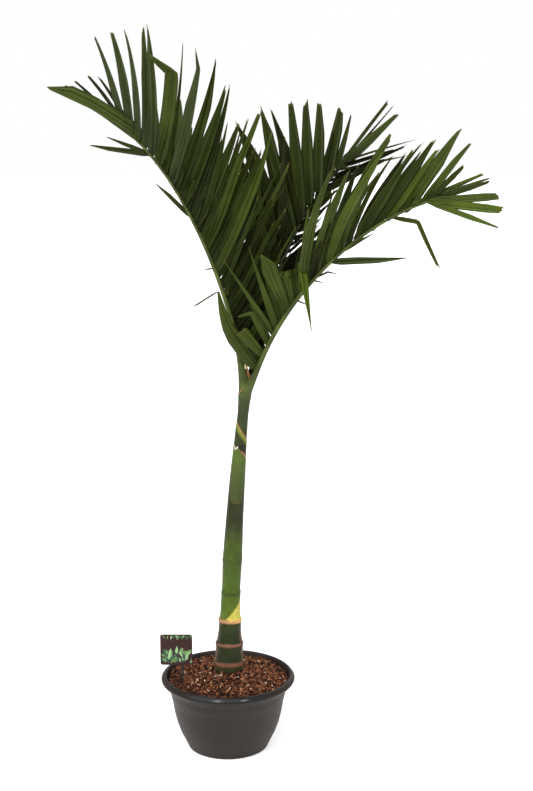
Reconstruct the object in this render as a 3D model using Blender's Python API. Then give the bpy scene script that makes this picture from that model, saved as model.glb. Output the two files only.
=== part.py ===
"""A young betel nut palm in a round nursery pot, life size, in metres, +Z up.

The origin is the centre of the pot's flat underside. The viewer's side is -Y.
Pot, soil, ringed stem, two leaf sheaths, three fronds and a plain tag on a pick.
"""
import math
import random

import bpy
import bmesh
from mathutils import Vector
from mathutils.bvhtree import BVHTree

# Clearance kept between neighbouring solids
GAP = 0.0003

# Pot
POT_HEIGHT = 0.190
RIM_RADIUS = 0.170
RIM_INNER_RADIUS = 0.156
NECK_RADIUS = 0.150
FOOT_RADIUS = 0.099
POT_WALL = 0.003
POT_FLOOR = 0.0055
FLOOR_CORNER = 0.008
POT_SIDES = 40
SHARP_ANGLE = math.radians(35)

# Soil: its surface rises from the pot's wall to a flat round the stem, as (radius, height)
SOIL_SURFACE = ((0.148, 0.178), (0.120, 0.1845), (0.080, 0.1940), (0.046, 0.2025))
SOIL_TOP = SOIL_SURFACE[-1][1]
SOIL_CLEAR = 0.001
SOIL_SIDES = 32

# Stem and sheaths
STEM_SIDES = 16
STEM_TOP = 0.490
CROWN_BASE = 0.918

# Fronds: a leaflet's thickness is a share of its length
RIB_SIDES = 6
RIB_STATIONS = 16
RIB_TIP_RADIUS = 0.0012
RIB_TAPER = 0.75
STRAY_WIDTH = 0.014
LEAFLET_THICKNESS = 0.0115
LEAST_THICKNESS = 0.0026
TIP_THINNING = 0.6
UP = Vector((0.0, 0.0, 1.0))

# Tag and its pick
CARD_SIZE = 0.080
CARD_THICKNESS = 0.0012
CARD_CENTRE = Vector((-0.1272, -0.062, 0.2770))
CARD_CORNER = 0.005
CORNER_SEGMENTS = 3
PICK_X = -0.1130
PICK_WIDTH = 0.005
PICK_THICKNESS = 0.0025
PICK_LAP = 0.030


def clear_scene():
    """Remove every object that is already there."""
    for item in list(bpy.data.objects):
        bpy.data.objects.remove(item, do_unlink=True)


def material(name, colour, roughness):
    """A plain dielectric of one colour."""
    made = bpy.data.materials.new(name)
    made.use_nodes = True
    shader = made.node_tree.nodes["Principled BSDF"]
    shader.inputs["Base Color"].default_value = (*colour, 1.0)
    shader.inputs["Roughness"].default_value = roughness
    return made


def add_object(name, vertices, faces, finish):
    """Make one named object from points and faces."""
    mesh = bpy.data.meshes.new(name)
    mesh.from_pydata([tuple(v) for v in vertices], [], faces)
    mesh.validate()
    tidy = bmesh.new()
    tidy.from_mesh(mesh)
    bmesh.ops.recalc_face_normals(tidy, faces=tidy.faces)
    tidy.to_mesh(mesh)
    tidy.free()
    mesh.materials.append(finish)
    item = bpy.data.objects.new(name, mesh)
    bpy.context.scene.collection.objects.link(item)
    return item


def loft(rings):
    """Skin a row of rings that have the same number of points, and cap both ends."""
    count = len(rings[0])
    vertices = [point for ring in rings for point in ring]
    faces = []
    for i in range(len(rings) - 1):
        for j in range(count):
            k = (j + 1) % count
            faces.append((i * count + j, i * count + k, (i + 1) * count + k, (i + 1) * count + j))
    faces.append(tuple(reversed(range(count))))
    faces.append(tuple((len(rings) - 1) * count + j for j in range(count)))
    return vertices, faces


def turned(name, profile, sides, finish, centre_line=None):
    """Turn (radius, height) pairs round the Z axis, or round a leaning centre line."""
    rings = []
    for radius, height in profile:
        across = centre_line(height) if centre_line else (0.0, 0.0)
        rings.append([
            Vector((across[0] + radius * math.cos(2 * math.pi * j / sides),
                    across[1] + radius * math.sin(2 * math.pi * j / sides), height))
            for j in range(sides)])
    vertices, faces = loft(rings)
    item = add_object(name, vertices, faces, finish)
    item.data.shade_smooth()
    item.data.set_sharp_from_angle(angle=SHARP_ANGLE)
    return item


def between(table, at):
    """Read a smooth value from evenly spaced table values, at in 0..1."""
    place = min(max(at, 0.0), 1.0) * (len(table) - 1)
    low = min(int(place), len(table) - 2)
    share = place - low
    return table[low] * (1 - share) + table[low + 1] * share


def pot_outer_profile():
    """Outside of the bowl, from the foot up to the rolled rim, as (radius, height)."""
    return [
        (FOOT_RADIUS, 0.0), (0.1035, 0.0045), (0.1105, 0.020), (0.1215, 0.042), (0.1305, 0.067),
        (0.1368, 0.093), (0.1405, 0.115), (0.1445, 0.135), (NECK_RADIUS, 0.156),
        (0.1575, 0.1685), (0.1660, 0.1730), (RIM_RADIUS, 0.1790), (RIM_RADIUS - 0.0008, 0.1862),
        (RIM_RADIUS - 0.0045, POT_HEIGHT), (RIM_INNER_RADIUS + 0.003, POT_HEIGHT),
        (RIM_INNER_RADIUS, POT_HEIGHT - 0.003)]


# Heights at which the inside wall has its own points, from under the rim down
INNER_HEIGHTS = (0.165, 0.135, 0.093, 0.042, 0.012)


def pot_inner_radius(height):
    """Radius of the bowl's inside at one of its heights, a wall's thickness in from the outside."""
    outer = pot_outer_profile()
    for (r0, z0), (r1, z1) in zip(outer, outer[1:]):
        if z0 <= height <= z1:
            return r0 + (r1 - r0) * (height - z0) / (z1 - z0) - POT_WALL
    return RIM_INNER_RADIUS


def build_pot(finish):
    """The moulded bowl: outside, rolled rim, inside wall and floor."""
    inner = [(pot_inner_radius(z), z) for z in INNER_HEIGHTS]
    floor = [(inner[-1][0] - FLOOR_CORNER, POT_FLOOR)]
    return turned("pot", pot_outer_profile() + inner + floor, POT_SIDES, finish)


def soil_height(radius):
    """Height of the soil's surface at a distance from the pot's axis."""
    for (r0, z0), (r1, z1) in zip(SOIL_SURFACE, SOIL_SURFACE[1:]):
        if r1 <= radius <= r0:
            return z0 + (z1 - z0) * (r0 - radius) / (r0 - r1)
    return SOIL_TOP


def build_soil(finish):
    """The ball of soil that fills the bowl and is heaped up a little round the stem."""
    flat_side = math.cos(math.pi / POT_SIDES)
    sides = [(pot_inner_radius(z) * flat_side - SOIL_CLEAR, z) for z in reversed(INNER_HEIGHTS)]
    foot = [(sides[0][0] - FLOOR_CORNER - SOIL_CLEAR, POT_FLOOR + 2 * GAP)]
    return turned("soil", foot + sides + list(SOIL_SURFACE), SOIL_SIDES, finish)


def stem_line(height):
    """Place of the stem's middle at a height: it leans to +X and bends a little."""
    rise = (height - POT_HEIGHT) / (CROWN_BASE - POT_HEIGHT)
    return (0.0025 + 0.0105 * rise + 0.0325 * rise * rise, 0.0)


# Stem: (radius, height), with a flared foot and three raised leaf scars
STEM_PROFILE = [
    (0.0392, SOIL_TOP + GAP), (0.0388, 0.2130), (0.0393, 0.2160), (0.0390, 0.2215),
    (0.0352, 0.2280), (0.0341, 0.2640), (0.0346, 0.2685), (0.0341, 0.2750), (0.0312, 0.2830),
    (0.0284, 0.3050), (0.0284, 0.3260), (0.0290, 0.3300), (0.0287, 0.3380), (0.0250, 0.3480),
    (0.0245, 0.4050), (0.0249, 0.4100), (0.0232, 0.4200), (0.0240, 0.4550), (0.0246, STEM_TOP)]

# Sheaths: (radius, height)
OUTER_SHEATH_PROFILE = [
    (0.0250, STEM_TOP + GAP), (0.0236, 0.515), (0.0222, 0.565), (0.0209, 0.615), (0.0198, 0.660),
    (0.0190, 0.698), (0.0174, 0.744), (0.0160, 0.790)]
INNER_SHEATH_PROFILE = [
    (0.0156, 0.790 + GAP), (0.0148, 0.820), (0.0142, 0.842), (0.0136, 0.862), (0.0146, 0.890),
    (0.0168, 0.912), (0.0172, CROWN_BASE)]


def bezier(points, t):
    """Point and direction on a four-point curve at t."""
    a, b, c, d = points
    u = 1 - t
    place = a * u ** 3 + b * (3 * u * u * t) + c * (3 * u * t * t) + d * t ** 3
    slope = (b - a) * (3 * u * u) + (c - b) * (6 * u * t) + (d - c) * (3 * t * t)
    return place, slope.normalized()


# Each frond: its rib is a four-point curve, thick at the foot, and leaflets leave it in two rows
# between the shares "first" and "last" of its length, wider apart towards the tip where spacing is
# over 1. A row's turn is its angle round the rib from the upper side, and its louvre the twist of
# its blades, in degrees. Its spread, the angle off the rib, and its length are read from foot to
# tip. Ends fan out at the rib's tip, as (turn, spread, length, width). Strays are narrow leaflets
# that hang loose below the rib, as (place along the rib, turn, spread, length, droop).
FRONDS = {
    "left_frond": {
        "rib": ((0.0405, 0.001, CROWN_BASE + GAP), (0.043, 0.018, 1.102),
                (-0.105, 0.038, 1.473), (-0.262, 0.063, 1.564)),
        "foot_radius": 0.0080, "first": 0.13, "last": 0.965, "pairs": 24, "spacing": 1.0,
        "width": 0.029,
        "rows": ({"turn": -10, "louvre": -14,
                  "spread": (42, 46, 46, 46, 50, 43, 39),
                  "length": (0.390, 0.385, 0.365, 0.335, 0.325, 0.295, 0.220)},
                 {"turn": 60, "louvre": 24,
                  "spread": (46, 47, 47, 46, 46, 44, 38),
                  "length": (0.330, 0.330, 0.320, 0.300, 0.280, 0.225, 0.160)}),
        "ends": ((0, 2, 0.180, 0.028), (-10, 11, 0.150, 0.018)),
        "strays": ((0.83, 180, 31, 0.147, 0.0), (0.60, 180, 17, 0.118, 0.0)),
        "seed": 3},
    "right_frond": {
        "rib": ((0.0575, -0.0085, CROWN_BASE + GAP), (0.104, -0.039, 1.118),
                (0.281, -0.099, 1.334), (0.482, -0.120, 1.396)),
        "foot_radius": 0.0080, "first": 0.11, "last": 0.96, "pairs": 17, "spacing": 1.3,
        "width": 0.031,
        "rows": ({"turn": 50, "louvre": -14,
                  "spread": (50, 61, 52, 33, 26, 21, 34),
                  "length": (0.255, 0.250, 0.230, 0.330, 0.320, 0.280, 0.150)},
                 {"turn": -40, "louvre": 14,
                  "spread": (58, 72, 66, 46, 40, 39, 20),
                  "length": (0.270, 0.250, 0.200, 0.290, 0.305, 0.255, 0.170)}),
        "ends": ((0, 3, 0.140, 0.016), (180, 14, 0.155, 0.020), (180, 27, 0.166, 0.020),
                 (180, 40, 0.162, 0.010)),
        "strays": ((0.58, 180, 40, 0.183, 0.0), (0.63, 180, 10, 0.090, 0.0),
                   (0.87, 180, 56, 0.160, 1.7)),
        "seed": 5},
    "back_frond": {
        "rib": ((0.0525, 0.0118, CROWN_BASE + GAP), (0.092, 0.066, 1.157),
                (0.171, 0.243, 1.358), (0.334, 0.379, 1.486)),
        "foot_radius": 0.0065, "first": 0.34, "last": 0.95, "pairs": 11, "spacing": 1.0,
        "width": 0.036,
        "rows": ({"turn": -20, "louvre": -10,
                  "spread": (33, 31, 30, 28, 29, 27, 24),
                  "length": (0.415, 0.400, 0.365, 0.325, 0.275, 0.225, 0.180)},
                 {"turn": 88, "louvre": 40,
                  "spread": (52, 50, 48, 46, 45, 44, 38),
                  "length": (0.290, 0.290, 0.280, 0.265, 0.250, 0.200, 0.130)}),
        "ends": ((-20, 9, 0.200, 0.018), (90, 2, 0.190, 0.024)),
        "strays": (),
        "seed": 10},
}

# How far a leaflet may stray from its row: in degrees of turn and of spread, in share of length
TURN_WANDER = 5.0
SPREAD_WANDER = 2.5
LENGTH_WANDER = 0.05
# The rows leave the rib by turns, this share of its length before and after one place
ROW_OFFSET = 0.005
END_PLACE = 0.995
# How much a leaflet bends towards the rib's tip along its length, and how much it sags
SWEEP = 0.16
DROOP = 0.06
# Shares of its length that a leaflet is cut to, in turn, until it clears the other fronds
SHORTER = (1.0, 0.85, 0.7, 0.55)

# A leaflet's outline, as (share of its length, share of its width)
WIDTH_STATIONS = ((0.0, 0.26), (0.15, 0.86), (0.45, 1.0), (0.78, 0.62), (1.0, 0.18))


def rib_frame(rib, t):
    """Place, direction, upper side and sideways direction of a rib at t."""
    place, along = bezier(rib, t)
    heading = rib[3] - rib[0]
    heading.z = 0.0
    upper = along.cross(UP.cross(heading)).normalized()
    return place, along, upper, along.cross(upper)


def leaflet_rings(foot, along, out, length, width, droop, louvre, spare=0.0):
    """Diamond sections of one leaflet that leaves the rib at foot in direction out.

    It sweeps a little towards the rib's tip, and droops by its own weight. spare makes it
    thicker all round, to find what lies too near it."""
    thickness = max(LEAFLET_THICKNESS * length, LEAST_THICKNESS) + 2 * spare
    rings = []
    at = foot.copy()
    last = 0.0
    for share, breadth in WIDTH_STATIONS:
        middle = (share + last) / 2
        bend = along * (SWEEP * (2 * middle - 1)) - UP * (droop * middle * middle)
        heading = (out + bend).normalized()
        at = at + heading * (length * (share - last))
        last = share
        across = (along - heading * along.dot(heading)).normalized()
        normal = heading.cross(across)
        flat = across * math.cos(louvre) + normal * math.sin(louvre)
        face = heading.cross(flat)
        half = width * breadth / 2 + spare
        depth = thickness / 2 * (TIP_THINNING if share == 1.0 else 1.0)
        rings.append([at + flat * half, at + face * depth, at - flat * half, at - face * depth])
    return rings


def direction(rib, t, turn, spread):
    """Place on the rib, its direction, and the way out of it at a turn and a spread."""
    foot, along, upper, sideways = rib_frame(rib, t)
    away = upper * math.cos(math.radians(turn)) + sideways * math.sin(math.radians(turn))
    off = math.radians(spread)
    return foot, along, along * math.cos(off) + away * math.sin(off)


def frond_leaflets(plan):
    """What leaflet_rings needs for every leaflet of a frond, from foot to tip."""
    rib = [Vector(point) for point in plan["rib"]]
    chance = random.Random(plan["seed"])
    grown = []
    for i in range(plan["pairs"]):
        share = i / (plan["pairs"] - 1)
        for side, row in zip((-1, 1), plan["rows"]):
            turn = row["turn"] + TURN_WANDER * chance.uniform(-1, 1)
            spread = between(row["spread"], share) + SPREAD_WANDER * chance.uniform(-1, 1)
            length = between(row["length"], share) * (1 + LENGTH_WANDER * chance.uniform(-1, 1))
            t = plan["first"] + (plan["last"] - plan["first"]) * share ** plan["spacing"]
            grown.append((*direction(rib, t + side * ROW_OFFSET, turn, spread), length,
                          plan["width"], DROOP, math.radians(row["louvre"])))
    for turn, spread, length, width in plan["ends"]:
        grown.append((*direction(rib, END_PLACE, turn, spread), length, width, DROOP, 0.0))
    for t, turn, spread, length, droop in plan["strays"]:
        grown.append((*direction(rib, t, turn, spread), length, STRAY_WIDTH, droop, 0.0))
    return grown


def rib_rings(plan):
    """Round sections of the rib, thick at its foot, where it stands flat on the sheath."""
    rib = [Vector(point) for point in plan["rib"]]
    rings = []
    for i in range(RIB_STATIONS):
        t = i / (RIB_STATIONS - 1)
        place, along, upper, sideways = rib_frame(rib, t)
        if i == 0:
            upper.z = 0.0
            upper.normalize()
            sideways = UP.cross(upper)
        radius = plan["foot_radius"] + (RIB_TIP_RADIUS - plan["foot_radius"]) * t ** RIB_TAPER
        rings.append([
            place + upper * (radius * math.cos(2 * math.pi * j / RIB_SIDES))
            + sideways * (radius * math.sin(2 * math.pi * j / RIB_SIDES))
            for j in range(RIB_SIDES)])
    return rings


def tree_of(rings):
    """Search tree of a lofted shape, for finding what touches it."""
    vertices, faces = loft(rings)
    return BVHTree.FromPolygons([tuple(v) for v in vertices], faces)


def place_leaflets(plan, taken):
    """Rings of the leaflets of a frond that keep clear of what the other fronds have taken.

    One that would touch is shortened in steps, and left out if even the shortest touches."""
    kept = []
    for foot, along, out, length, *shape in frond_leaflets(plan):
        for stretch in SHORTER:
            fat = tree_of(leaflet_rings(foot, along, out, length * stretch, *shape, GAP))
            if not any(fat.overlap(other) for other in taken):
                kept.append(leaflet_rings(foot, along, out, length * stretch, *shape))
                break
    return kept


def fill_hollows(mesh):
    """Keep the largest closed shell of a mesh: hollows sealed inside it go, and loose scraps."""
    made = bmesh.new()
    made.from_mesh(mesh)
    left = set(made.faces)
    shells = []
    while left:
        front = [left.pop()]
        shell = list(front)
        while front:
            beside = {face for edge in front.pop().edges if len(edge.link_faces) == 2
                      for face in edge.link_faces} & left
            left -= beside
            front += beside
            shell += beside
        shells.append(shell)
    shells.sort(key=len)
    scraps = [face for shell in shells[:-1] for face in shell]
    bmesh.ops.delete(made, geom=scraps, context="FACES")
    made.to_mesh(mesh)
    made.free()


def join(name, rings_list, finish):
    """Join lofted shapes into one closed solid, with one union on a collection."""
    parts = bpy.data.collections.new(name + "_parts")
    bpy.context.scene.collection.children.link(parts)
    body = add_object(name, *loft(rings_list[0]), finish)
    for rings in rings_list[1:]:
        leaflet = add_object(name + "_leaflet", *loft(rings), finish)
        bpy.context.scene.collection.objects.unlink(leaflet)
        parts.objects.link(leaflet)
    union = body.modifiers.new("leaflets", "BOOLEAN")
    union.operation = "UNION"
    union.operand_type = "COLLECTION"
    union.solver = "MANIFOLD"
    union.collection = parts
    joined = bpy.data.meshes.new_from_object(
        body.evaluated_get(bpy.context.evaluated_depsgraph_get()))
    fill_hollows(joined)
    body.modifiers.clear()
    body.data = joined
    for leaflet in list(parts.objects):
        bpy.data.objects.remove(leaflet, do_unlink=True)
    bpy.data.collections.remove(parts)
    return body


def build_fronds(finish):
    """All fronds, each a rib with its leaflets, kept clear of one another."""
    ribs = {name: rib_rings(plan) for name, plan in FRONDS.items()}
    taken = {name: [tree_of(rings)] for name, rings in ribs.items()}
    for name, plan in FRONDS.items():
        others = [tree for other in taken if other != name for tree in taken[other]]
        leaflets = place_leaflets(plan, others)
        taken[name] += [tree_of(rings) for rings in leaflets]
        join(name, [ribs[name]] + leaflets, finish)


def block(name, low, high, finish, round_by=0.0):
    """An upright slab between two corners, with its four upright-plane corners rounded."""
    made = bmesh.new()
    bmesh.ops.create_cube(made, size=1.0)
    size = Vector(high) - Vector(low)
    middle = (Vector(high) + Vector(low)) / 2
    for vertex in made.verts:
        vertex.co = vertex.co * size + middle
    if round_by:
        edges = [edge for edge in made.edges
                 if abs((edge.verts[0].co - edge.verts[1].co).normalized().y) > 0.9]
        bmesh.ops.bevel(made, geom=edges, offset=round_by, segments=CORNER_SEGMENTS, profile=0.5,
                        affect="EDGES")
    mesh = bpy.data.meshes.new(name)
    made.to_mesh(mesh)
    made.free()
    mesh.materials.append(finish)
    item = bpy.data.objects.new(name, mesh)
    bpy.context.scene.collection.objects.link(item)
    return item


def build_tag(card_finish, pick_finish):
    """A square card held in front of a slim pick that stands on the soil."""
    half = CARD_SIZE / 2
    centre = CARD_CENTRE
    block("label_card", (centre.x - half, centre.y - CARD_THICKNESS, centre.z - half),
          (centre.x + half, centre.y, centre.z + half), card_finish, CARD_CORNER)
    near_axis = math.hypot(PICK_X + PICK_WIDTH / 2, centre.y + PICK_THICKNESS)
    block("label_pick", (PICK_X - PICK_WIDTH / 2, centre.y + GAP, soil_height(near_axis) + 2 * GAP),
          (PICK_X + PICK_WIDTH / 2, centre.y + PICK_THICKNESS, centre.z - half + PICK_LAP),
          pick_finish)


def build():
    """Put the whole plant together."""
    clear_scene()
    pot_plastic = material("pot plastic", (0.060, 0.053, 0.049), 0.45)
    soil = material("coir and bark soil", (0.120, 0.055, 0.032), 0.95)
    stem = material("green stem", (0.060, 0.105, 0.030), 0.5)
    leaf = material("palm leaf", (0.035, 0.075, 0.018), 0.45)
    card = material("printed card", (0.060, 0.030, 0.022), 0.5)
    pick = material("black pick", (0.012, 0.012, 0.012), 0.5)
    build_pot(pot_plastic)
    build_soil(soil)
    turned("trunk", STEM_PROFILE, STEM_SIDES, stem, stem_line)
    turned("outer_sheath", OUTER_SHEATH_PROFILE, STEM_SIDES, stem, stem_line)
    turned("inner_sheath", INNER_SHEATH_PROFILE, STEM_SIDES, stem, stem_line)
    build_fronds(leaf)
    build_tag(card, pick)


build()
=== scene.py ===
"""A young betel nut palm in its nursery pot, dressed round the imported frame. Metres, +Z up."""
import math
import random

import bpy
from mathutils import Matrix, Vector
from mathutils.noise import noise


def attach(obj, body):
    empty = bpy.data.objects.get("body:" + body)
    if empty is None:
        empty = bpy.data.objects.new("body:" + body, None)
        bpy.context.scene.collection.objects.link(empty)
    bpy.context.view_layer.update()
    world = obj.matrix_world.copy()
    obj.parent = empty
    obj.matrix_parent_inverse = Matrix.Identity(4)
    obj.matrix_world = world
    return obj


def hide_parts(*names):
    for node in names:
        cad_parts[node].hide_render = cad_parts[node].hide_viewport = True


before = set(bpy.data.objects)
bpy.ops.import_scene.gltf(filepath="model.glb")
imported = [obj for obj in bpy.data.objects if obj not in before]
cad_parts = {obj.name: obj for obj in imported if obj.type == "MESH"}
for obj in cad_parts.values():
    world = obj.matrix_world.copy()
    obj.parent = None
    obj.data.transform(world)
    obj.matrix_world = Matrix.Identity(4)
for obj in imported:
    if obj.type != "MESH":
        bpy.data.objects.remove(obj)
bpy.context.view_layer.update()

# The place where the palm is shown: a pale matt floor that runs on into a pale sweep, a camera at
# head height that looks down a little, wide soft lamps, and two small soft boxes that the rim mirrors.
CAMERA_PLACE = (0.098, -3.5, 1.618)
CAMERA_DIP = math.radians(11.41)
SENSOR = 36.0
FOCAL_PIXELS = 1456
PICTURE_HEIGHT = 791
FLOOR_SIZE = 60
SKY_STRENGTH = 0.28
SWEEP_STRENGTH = 1.0
WHITE = "ffffff"
FLOOR_GLOW = 0.42
# Lamps far off behind wide screens: name, where the light comes from, strength, spread in degrees
LAMPS = (("key_lamp", (-1.0, -1.5, 2.2), 2.35, 70),
         ("left_soft_box", (-0.24, -0.61, 0.77), 0.42, 9),
         ("right_soft_box", (0.37, -0.53, 0.77), 0.42, 9),
         ("fill_lamp", (1.6, -1.2, 0.9), 0.50, 60),
         ("back_lamp", (0.6, 1.6, 1.6), 0.70, 60))


def linear(code):
    """Linear RGBA of an sRGB hex colour."""
    parts = [int(code[i:i + 2], 16) / 255 for i in (0, 2, 4)]
    return (*[p / 12.92 if p <= 0.04045 else ((p + 0.055) / 1.055) ** 2.4 for p in parts], 1.0)


def join(source, socket):
    """Link the output of one node to the input of another."""
    socket.id_data.links.new(source, socket)


def node(material, kind, settings=None, **links):
    """Add a node; settings go to its properties or sockets, and links to its inputs."""
    made = material.node_tree.nodes.new(kind)
    for key, value in (settings or {}).items():
        if isinstance(key, int) or key in made.inputs:
            made.inputs[key].default_value = value
        else:
            setattr(made, key, value)
    for key, source in links.items():
        numbered = key[0] == "i" and key[1:].isdigit()
        join(source, made.inputs[int(key[1:])] if numbered else made.inputs[key])
    return made


def finish(name, colour, roughness, ior=1.5, gloss=0.5):
    """A new dielectric material and its shader."""
    material = bpy.data.materials.new(name)
    material.use_nodes = True
    shader = material.node_tree.nodes["Principled BSDF"]
    shader.inputs["Base Color"].default_value = linear(colour)
    shader.inputs["Roughness"].default_value = roughness
    shader.inputs["IOR"].default_value = ior
    shader.inputs["Specular IOR Level"].default_value = gloss
    return material, shader


camera = bpy.data.objects.new("camera", bpy.data.cameras.new("camera"))
bpy.context.scene.collection.objects.link(camera)
camera.location = CAMERA_PLACE
camera.rotation_euler = (math.pi / 2 - CAMERA_DIP, 0, 0)
camera.data.sensor_width = SENSOR
camera.data.lens = SENSOR * FOCAL_PIXELS / PICTURE_HEIGHT
bpy.context.scene.camera = camera
bpy.context.scene.view_settings.view_transform = "Standard"

bpy.ops.object.select_all(action="DESELECT")
bpy.ops.mesh.primitive_plane_add(size=FLOOR_SIZE, location=(0, 0, 0))
floor = bpy.context.object
floor.name = "floor"
bpy.ops.object.transform_apply(location=True, rotation=True, scale=True)
pale, shader = finish("matt_floor_paint", "fbfbfb", 0.9)
seen = node(pale, "ShaderNodeLightPath")
glow = node(pale, "ShaderNodeMath", {"operation": "MULTIPLY", 1: FLOOR_GLOW},
            i0=seen.outputs["Is Camera Ray"])
join(glow.outputs["Value"], shader.inputs["Emission Strength"])
shader.inputs["Emission Color"].default_value = linear(WHITE)
floor.data.materials.append(pale)

world = bpy.data.worlds.new("studio")
world.use_nodes = True
soft_sky = world.node_tree.nodes["Background"]
soft_sky.inputs["Color"].default_value = linear(WHITE)
soft_sky.inputs["Strength"].default_value = SKY_STRENGTH
white_sweep = node(world, "ShaderNodeBackground", {"Strength": SWEEP_STRENGTH, "Color": linear(WHITE)})
seen = node(world, "ShaderNodeLightPath")
mixed = node(world, "ShaderNodeMixShader", i0=seen.outputs["Is Camera Ray"],
             i1=soft_sky.outputs["Background"], i2=white_sweep.outputs["Background"])
join(mixed.outputs["Shader"], world.node_tree.nodes["World Output"].inputs["Surface"])
bpy.context.scene.world = world

for name, place, strength, spread in LAMPS:
    lamp = bpy.data.objects.new(name, bpy.data.lights.new(name, "SUN"))
    bpy.context.scene.collection.objects.link(lamp)
    lamp.data.energy = strength
    lamp.data.angle = math.radians(spread)
    lamp.rotation_euler = Vector(place).to_track_quat("Z", "Y").to_euler()


# The pot is a bowl of injection moulded polypropylene, warm anthracite with a satin skin. Its rim
# is rolled outwards and polished by hands at the front, where its lip is painted darker as shade, and
# faint mould steps run round under it.
POT_SIDES = 128
POT_HEIGHT = 0.190
RIM_RADIUS = 0.170
FOOT_RADIUS = 0.099
NOTCH_WIDTH = 0.015
NOTCH_HEIGHT = 0.002
FOOT_EDGE = 0.0015
# The rim's polish and the painted shade on its lip come in over these heights, and towards the viewer
# over these places
POLISHED_FROM, POLISHED_TO = 0.170, 0.180
HANDLED_FROM, HANDLED_TO = -0.090, -0.150
SATIN, POLISHED = 0.46, 0.17
SATIN_GLOSS, POLISHED_GLOSS = 0.32, 0.18
# Sizes of its patterns in millimetres: faint clouds in the colour, and the grain of the skin
CLOUD_MM, GRAIN_MM = 110, 1.1
POT_OUTSIDE = (
    (FOOT_RADIUS - 0.004, 0.0), (FOOT_RADIUS, 0.0), (0.1022, 0.0018), (0.1040, 0.0060),
    (0.1105, 0.0200), (0.1215, 0.0420), (0.1305, 0.0670), (0.1368, 0.0930), (0.1405, 0.1150),
    (0.1442, 0.1340), (0.1449, 0.1346), (0.1462, 0.1410), (0.1500, 0.1560), (0.1510, 0.1564),
    (0.1530, 0.1612), (0.1575, 0.1680), (0.1640, 0.1716), (0.1682, 0.1748), (0.1697, 0.1775),
    (RIM_RADIUS, 0.1795), (0.1698, 0.1812), (0.1691, 0.1823), (0.1666, 0.1856), (0.1656, 0.1868),
    (0.1640, 0.1884), (0.1620, 0.1897), (0.1600, POT_HEIGHT), (0.1578, 0.1892), (0.1562, 0.1868))
POT_INSIDE = ((0.1528, 0.1650), (0.1415, 0.1350), (0.1338, 0.0930), (0.1185, 0.0420), (0.103, 0.012),
              (0.094, 0.0062))


def pick_out(item):
    """Select one piece alone and make it the active one."""
    bpy.ops.object.select_all(action="DESELECT")
    item.select_set(True)
    bpy.context.view_layer.objects.active = item


def turned(name, profile, sides):
    """Turn a profile of (radius, height) pairs by extruding a circle ring by ring, open at both ends."""
    radius, height = profile[0]
    bpy.ops.object.select_all(action="DESELECT")
    bpy.ops.mesh.primitive_circle_add(vertices=sides, radius=radius, location=(0, 0, height),
                                      fill_type="NOTHING")
    item = bpy.context.object
    item.name = name
    bpy.ops.object.transform_apply(location=True, rotation=True, scale=True)
    bpy.ops.object.mode_set(mode="EDIT")
    bpy.ops.mesh.select_all(action="SELECT")
    for wide, high in profile[1:]:
        bpy.ops.mesh.extrude_region_move(TRANSFORM_OT_translate={"value": (0, 0, high - height)})
        bpy.ops.transform.resize(value=(wide / radius, wide / radius, 1), center_override=(0, 0, high))
        radius, height = wide, high
    bpy.ops.mesh.select_all(action="SELECT")
    bpy.ops.mesh.normals_make_consistent(inside=False)
    bpy.ops.object.mode_set(mode="OBJECT")
    return item


def close_ends(item):
    """Fill the open rings of a turned piece and make its faces point outwards."""
    pick_out(item)
    bpy.ops.object.mode_set(mode="EDIT")
    bpy.ops.mesh.select_all(action="DESELECT")
    bpy.ops.mesh.select_mode(type="EDGE")
    bpy.ops.mesh.select_non_manifold()
    bpy.ops.mesh.edge_face_add()
    bpy.ops.mesh.select_all(action="SELECT")
    bpy.ops.mesh.normals_make_consistent(inside=False)
    bpy.ops.object.mode_set(mode="OBJECT")


def smooth(item, degrees=50):
    """Shade a piece smooth, with sharp edges over an angle."""
    pick_out(item)
    bpy.ops.object.shade_smooth_by_angle(angle=math.radians(degrees))


pot = turned("pot_bowl", POT_OUTSIDE + POT_INSIDE, POT_SIDES)
close_ends(pot)
for vertex in pot.data.vertices:
    beside = abs(math.atan2(vertex.co.x, -vertex.co.y)) * FOOT_RADIUS
    outside = vertex.co.z < FOOT_EDGE and vertex.co.xy.length > FOOT_RADIUS - FOOT_EDGE
    if outside and beside < NOTCH_WIDTH / 2:
        vertex.co.z += NOTCH_HEIGHT
smooth(pot)
plastic, shader = finish("injection_moulded_polypropylene", "2b221c", SATIN, 1.5, SATIN_GLOSS)
where = node(plastic, "ShaderNodeTexCoord")
clouds = node(plastic, "ShaderNodeTexNoise", {"Scale": 1000 / CLOUD_MM, "Detail": 4.0},
              Vector=where.outputs["Object"])
tone = node(plastic, "ShaderNodeValToRGB", Fac=clouds.outputs["Fac"])
tone.color_ramp.elements[0].color = linear("261e18")
tone.color_ramp.elements[1].color = linear("302721")
grain = node(plastic, "ShaderNodeTexNoise", {"Scale": 1000 / GRAIN_MM, "Detail": 2.0},
             Vector=where.outputs["Object"])
relief = node(plastic, "ShaderNodeBump", {"Strength": 0.06, "Distance": 0.0003},
              Height=grain.outputs["Fac"])
join(relief.outputs["Normal"], shader.inputs["Normal"])
apart = node(plastic, "ShaderNodeSeparateXYZ", Vector=where.outputs["Object"])
high = node(plastic, "ShaderNodeMapRange", {"From Min": POLISHED_FROM, "From Max": POLISHED_TO},
            Value=apart.outputs["Z"])
front = node(plastic, "ShaderNodeMapRange", {"From Min": HANDLED_FROM, "From Max": HANDLED_TO},
             Value=apart.outputs["Y"])
polish_and_lip_shade = node(plastic, "ShaderNodeMath", {"operation": "MULTIPLY"}, i0=high.outputs["Result"],
              i1=front.outputs["Result"])
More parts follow.
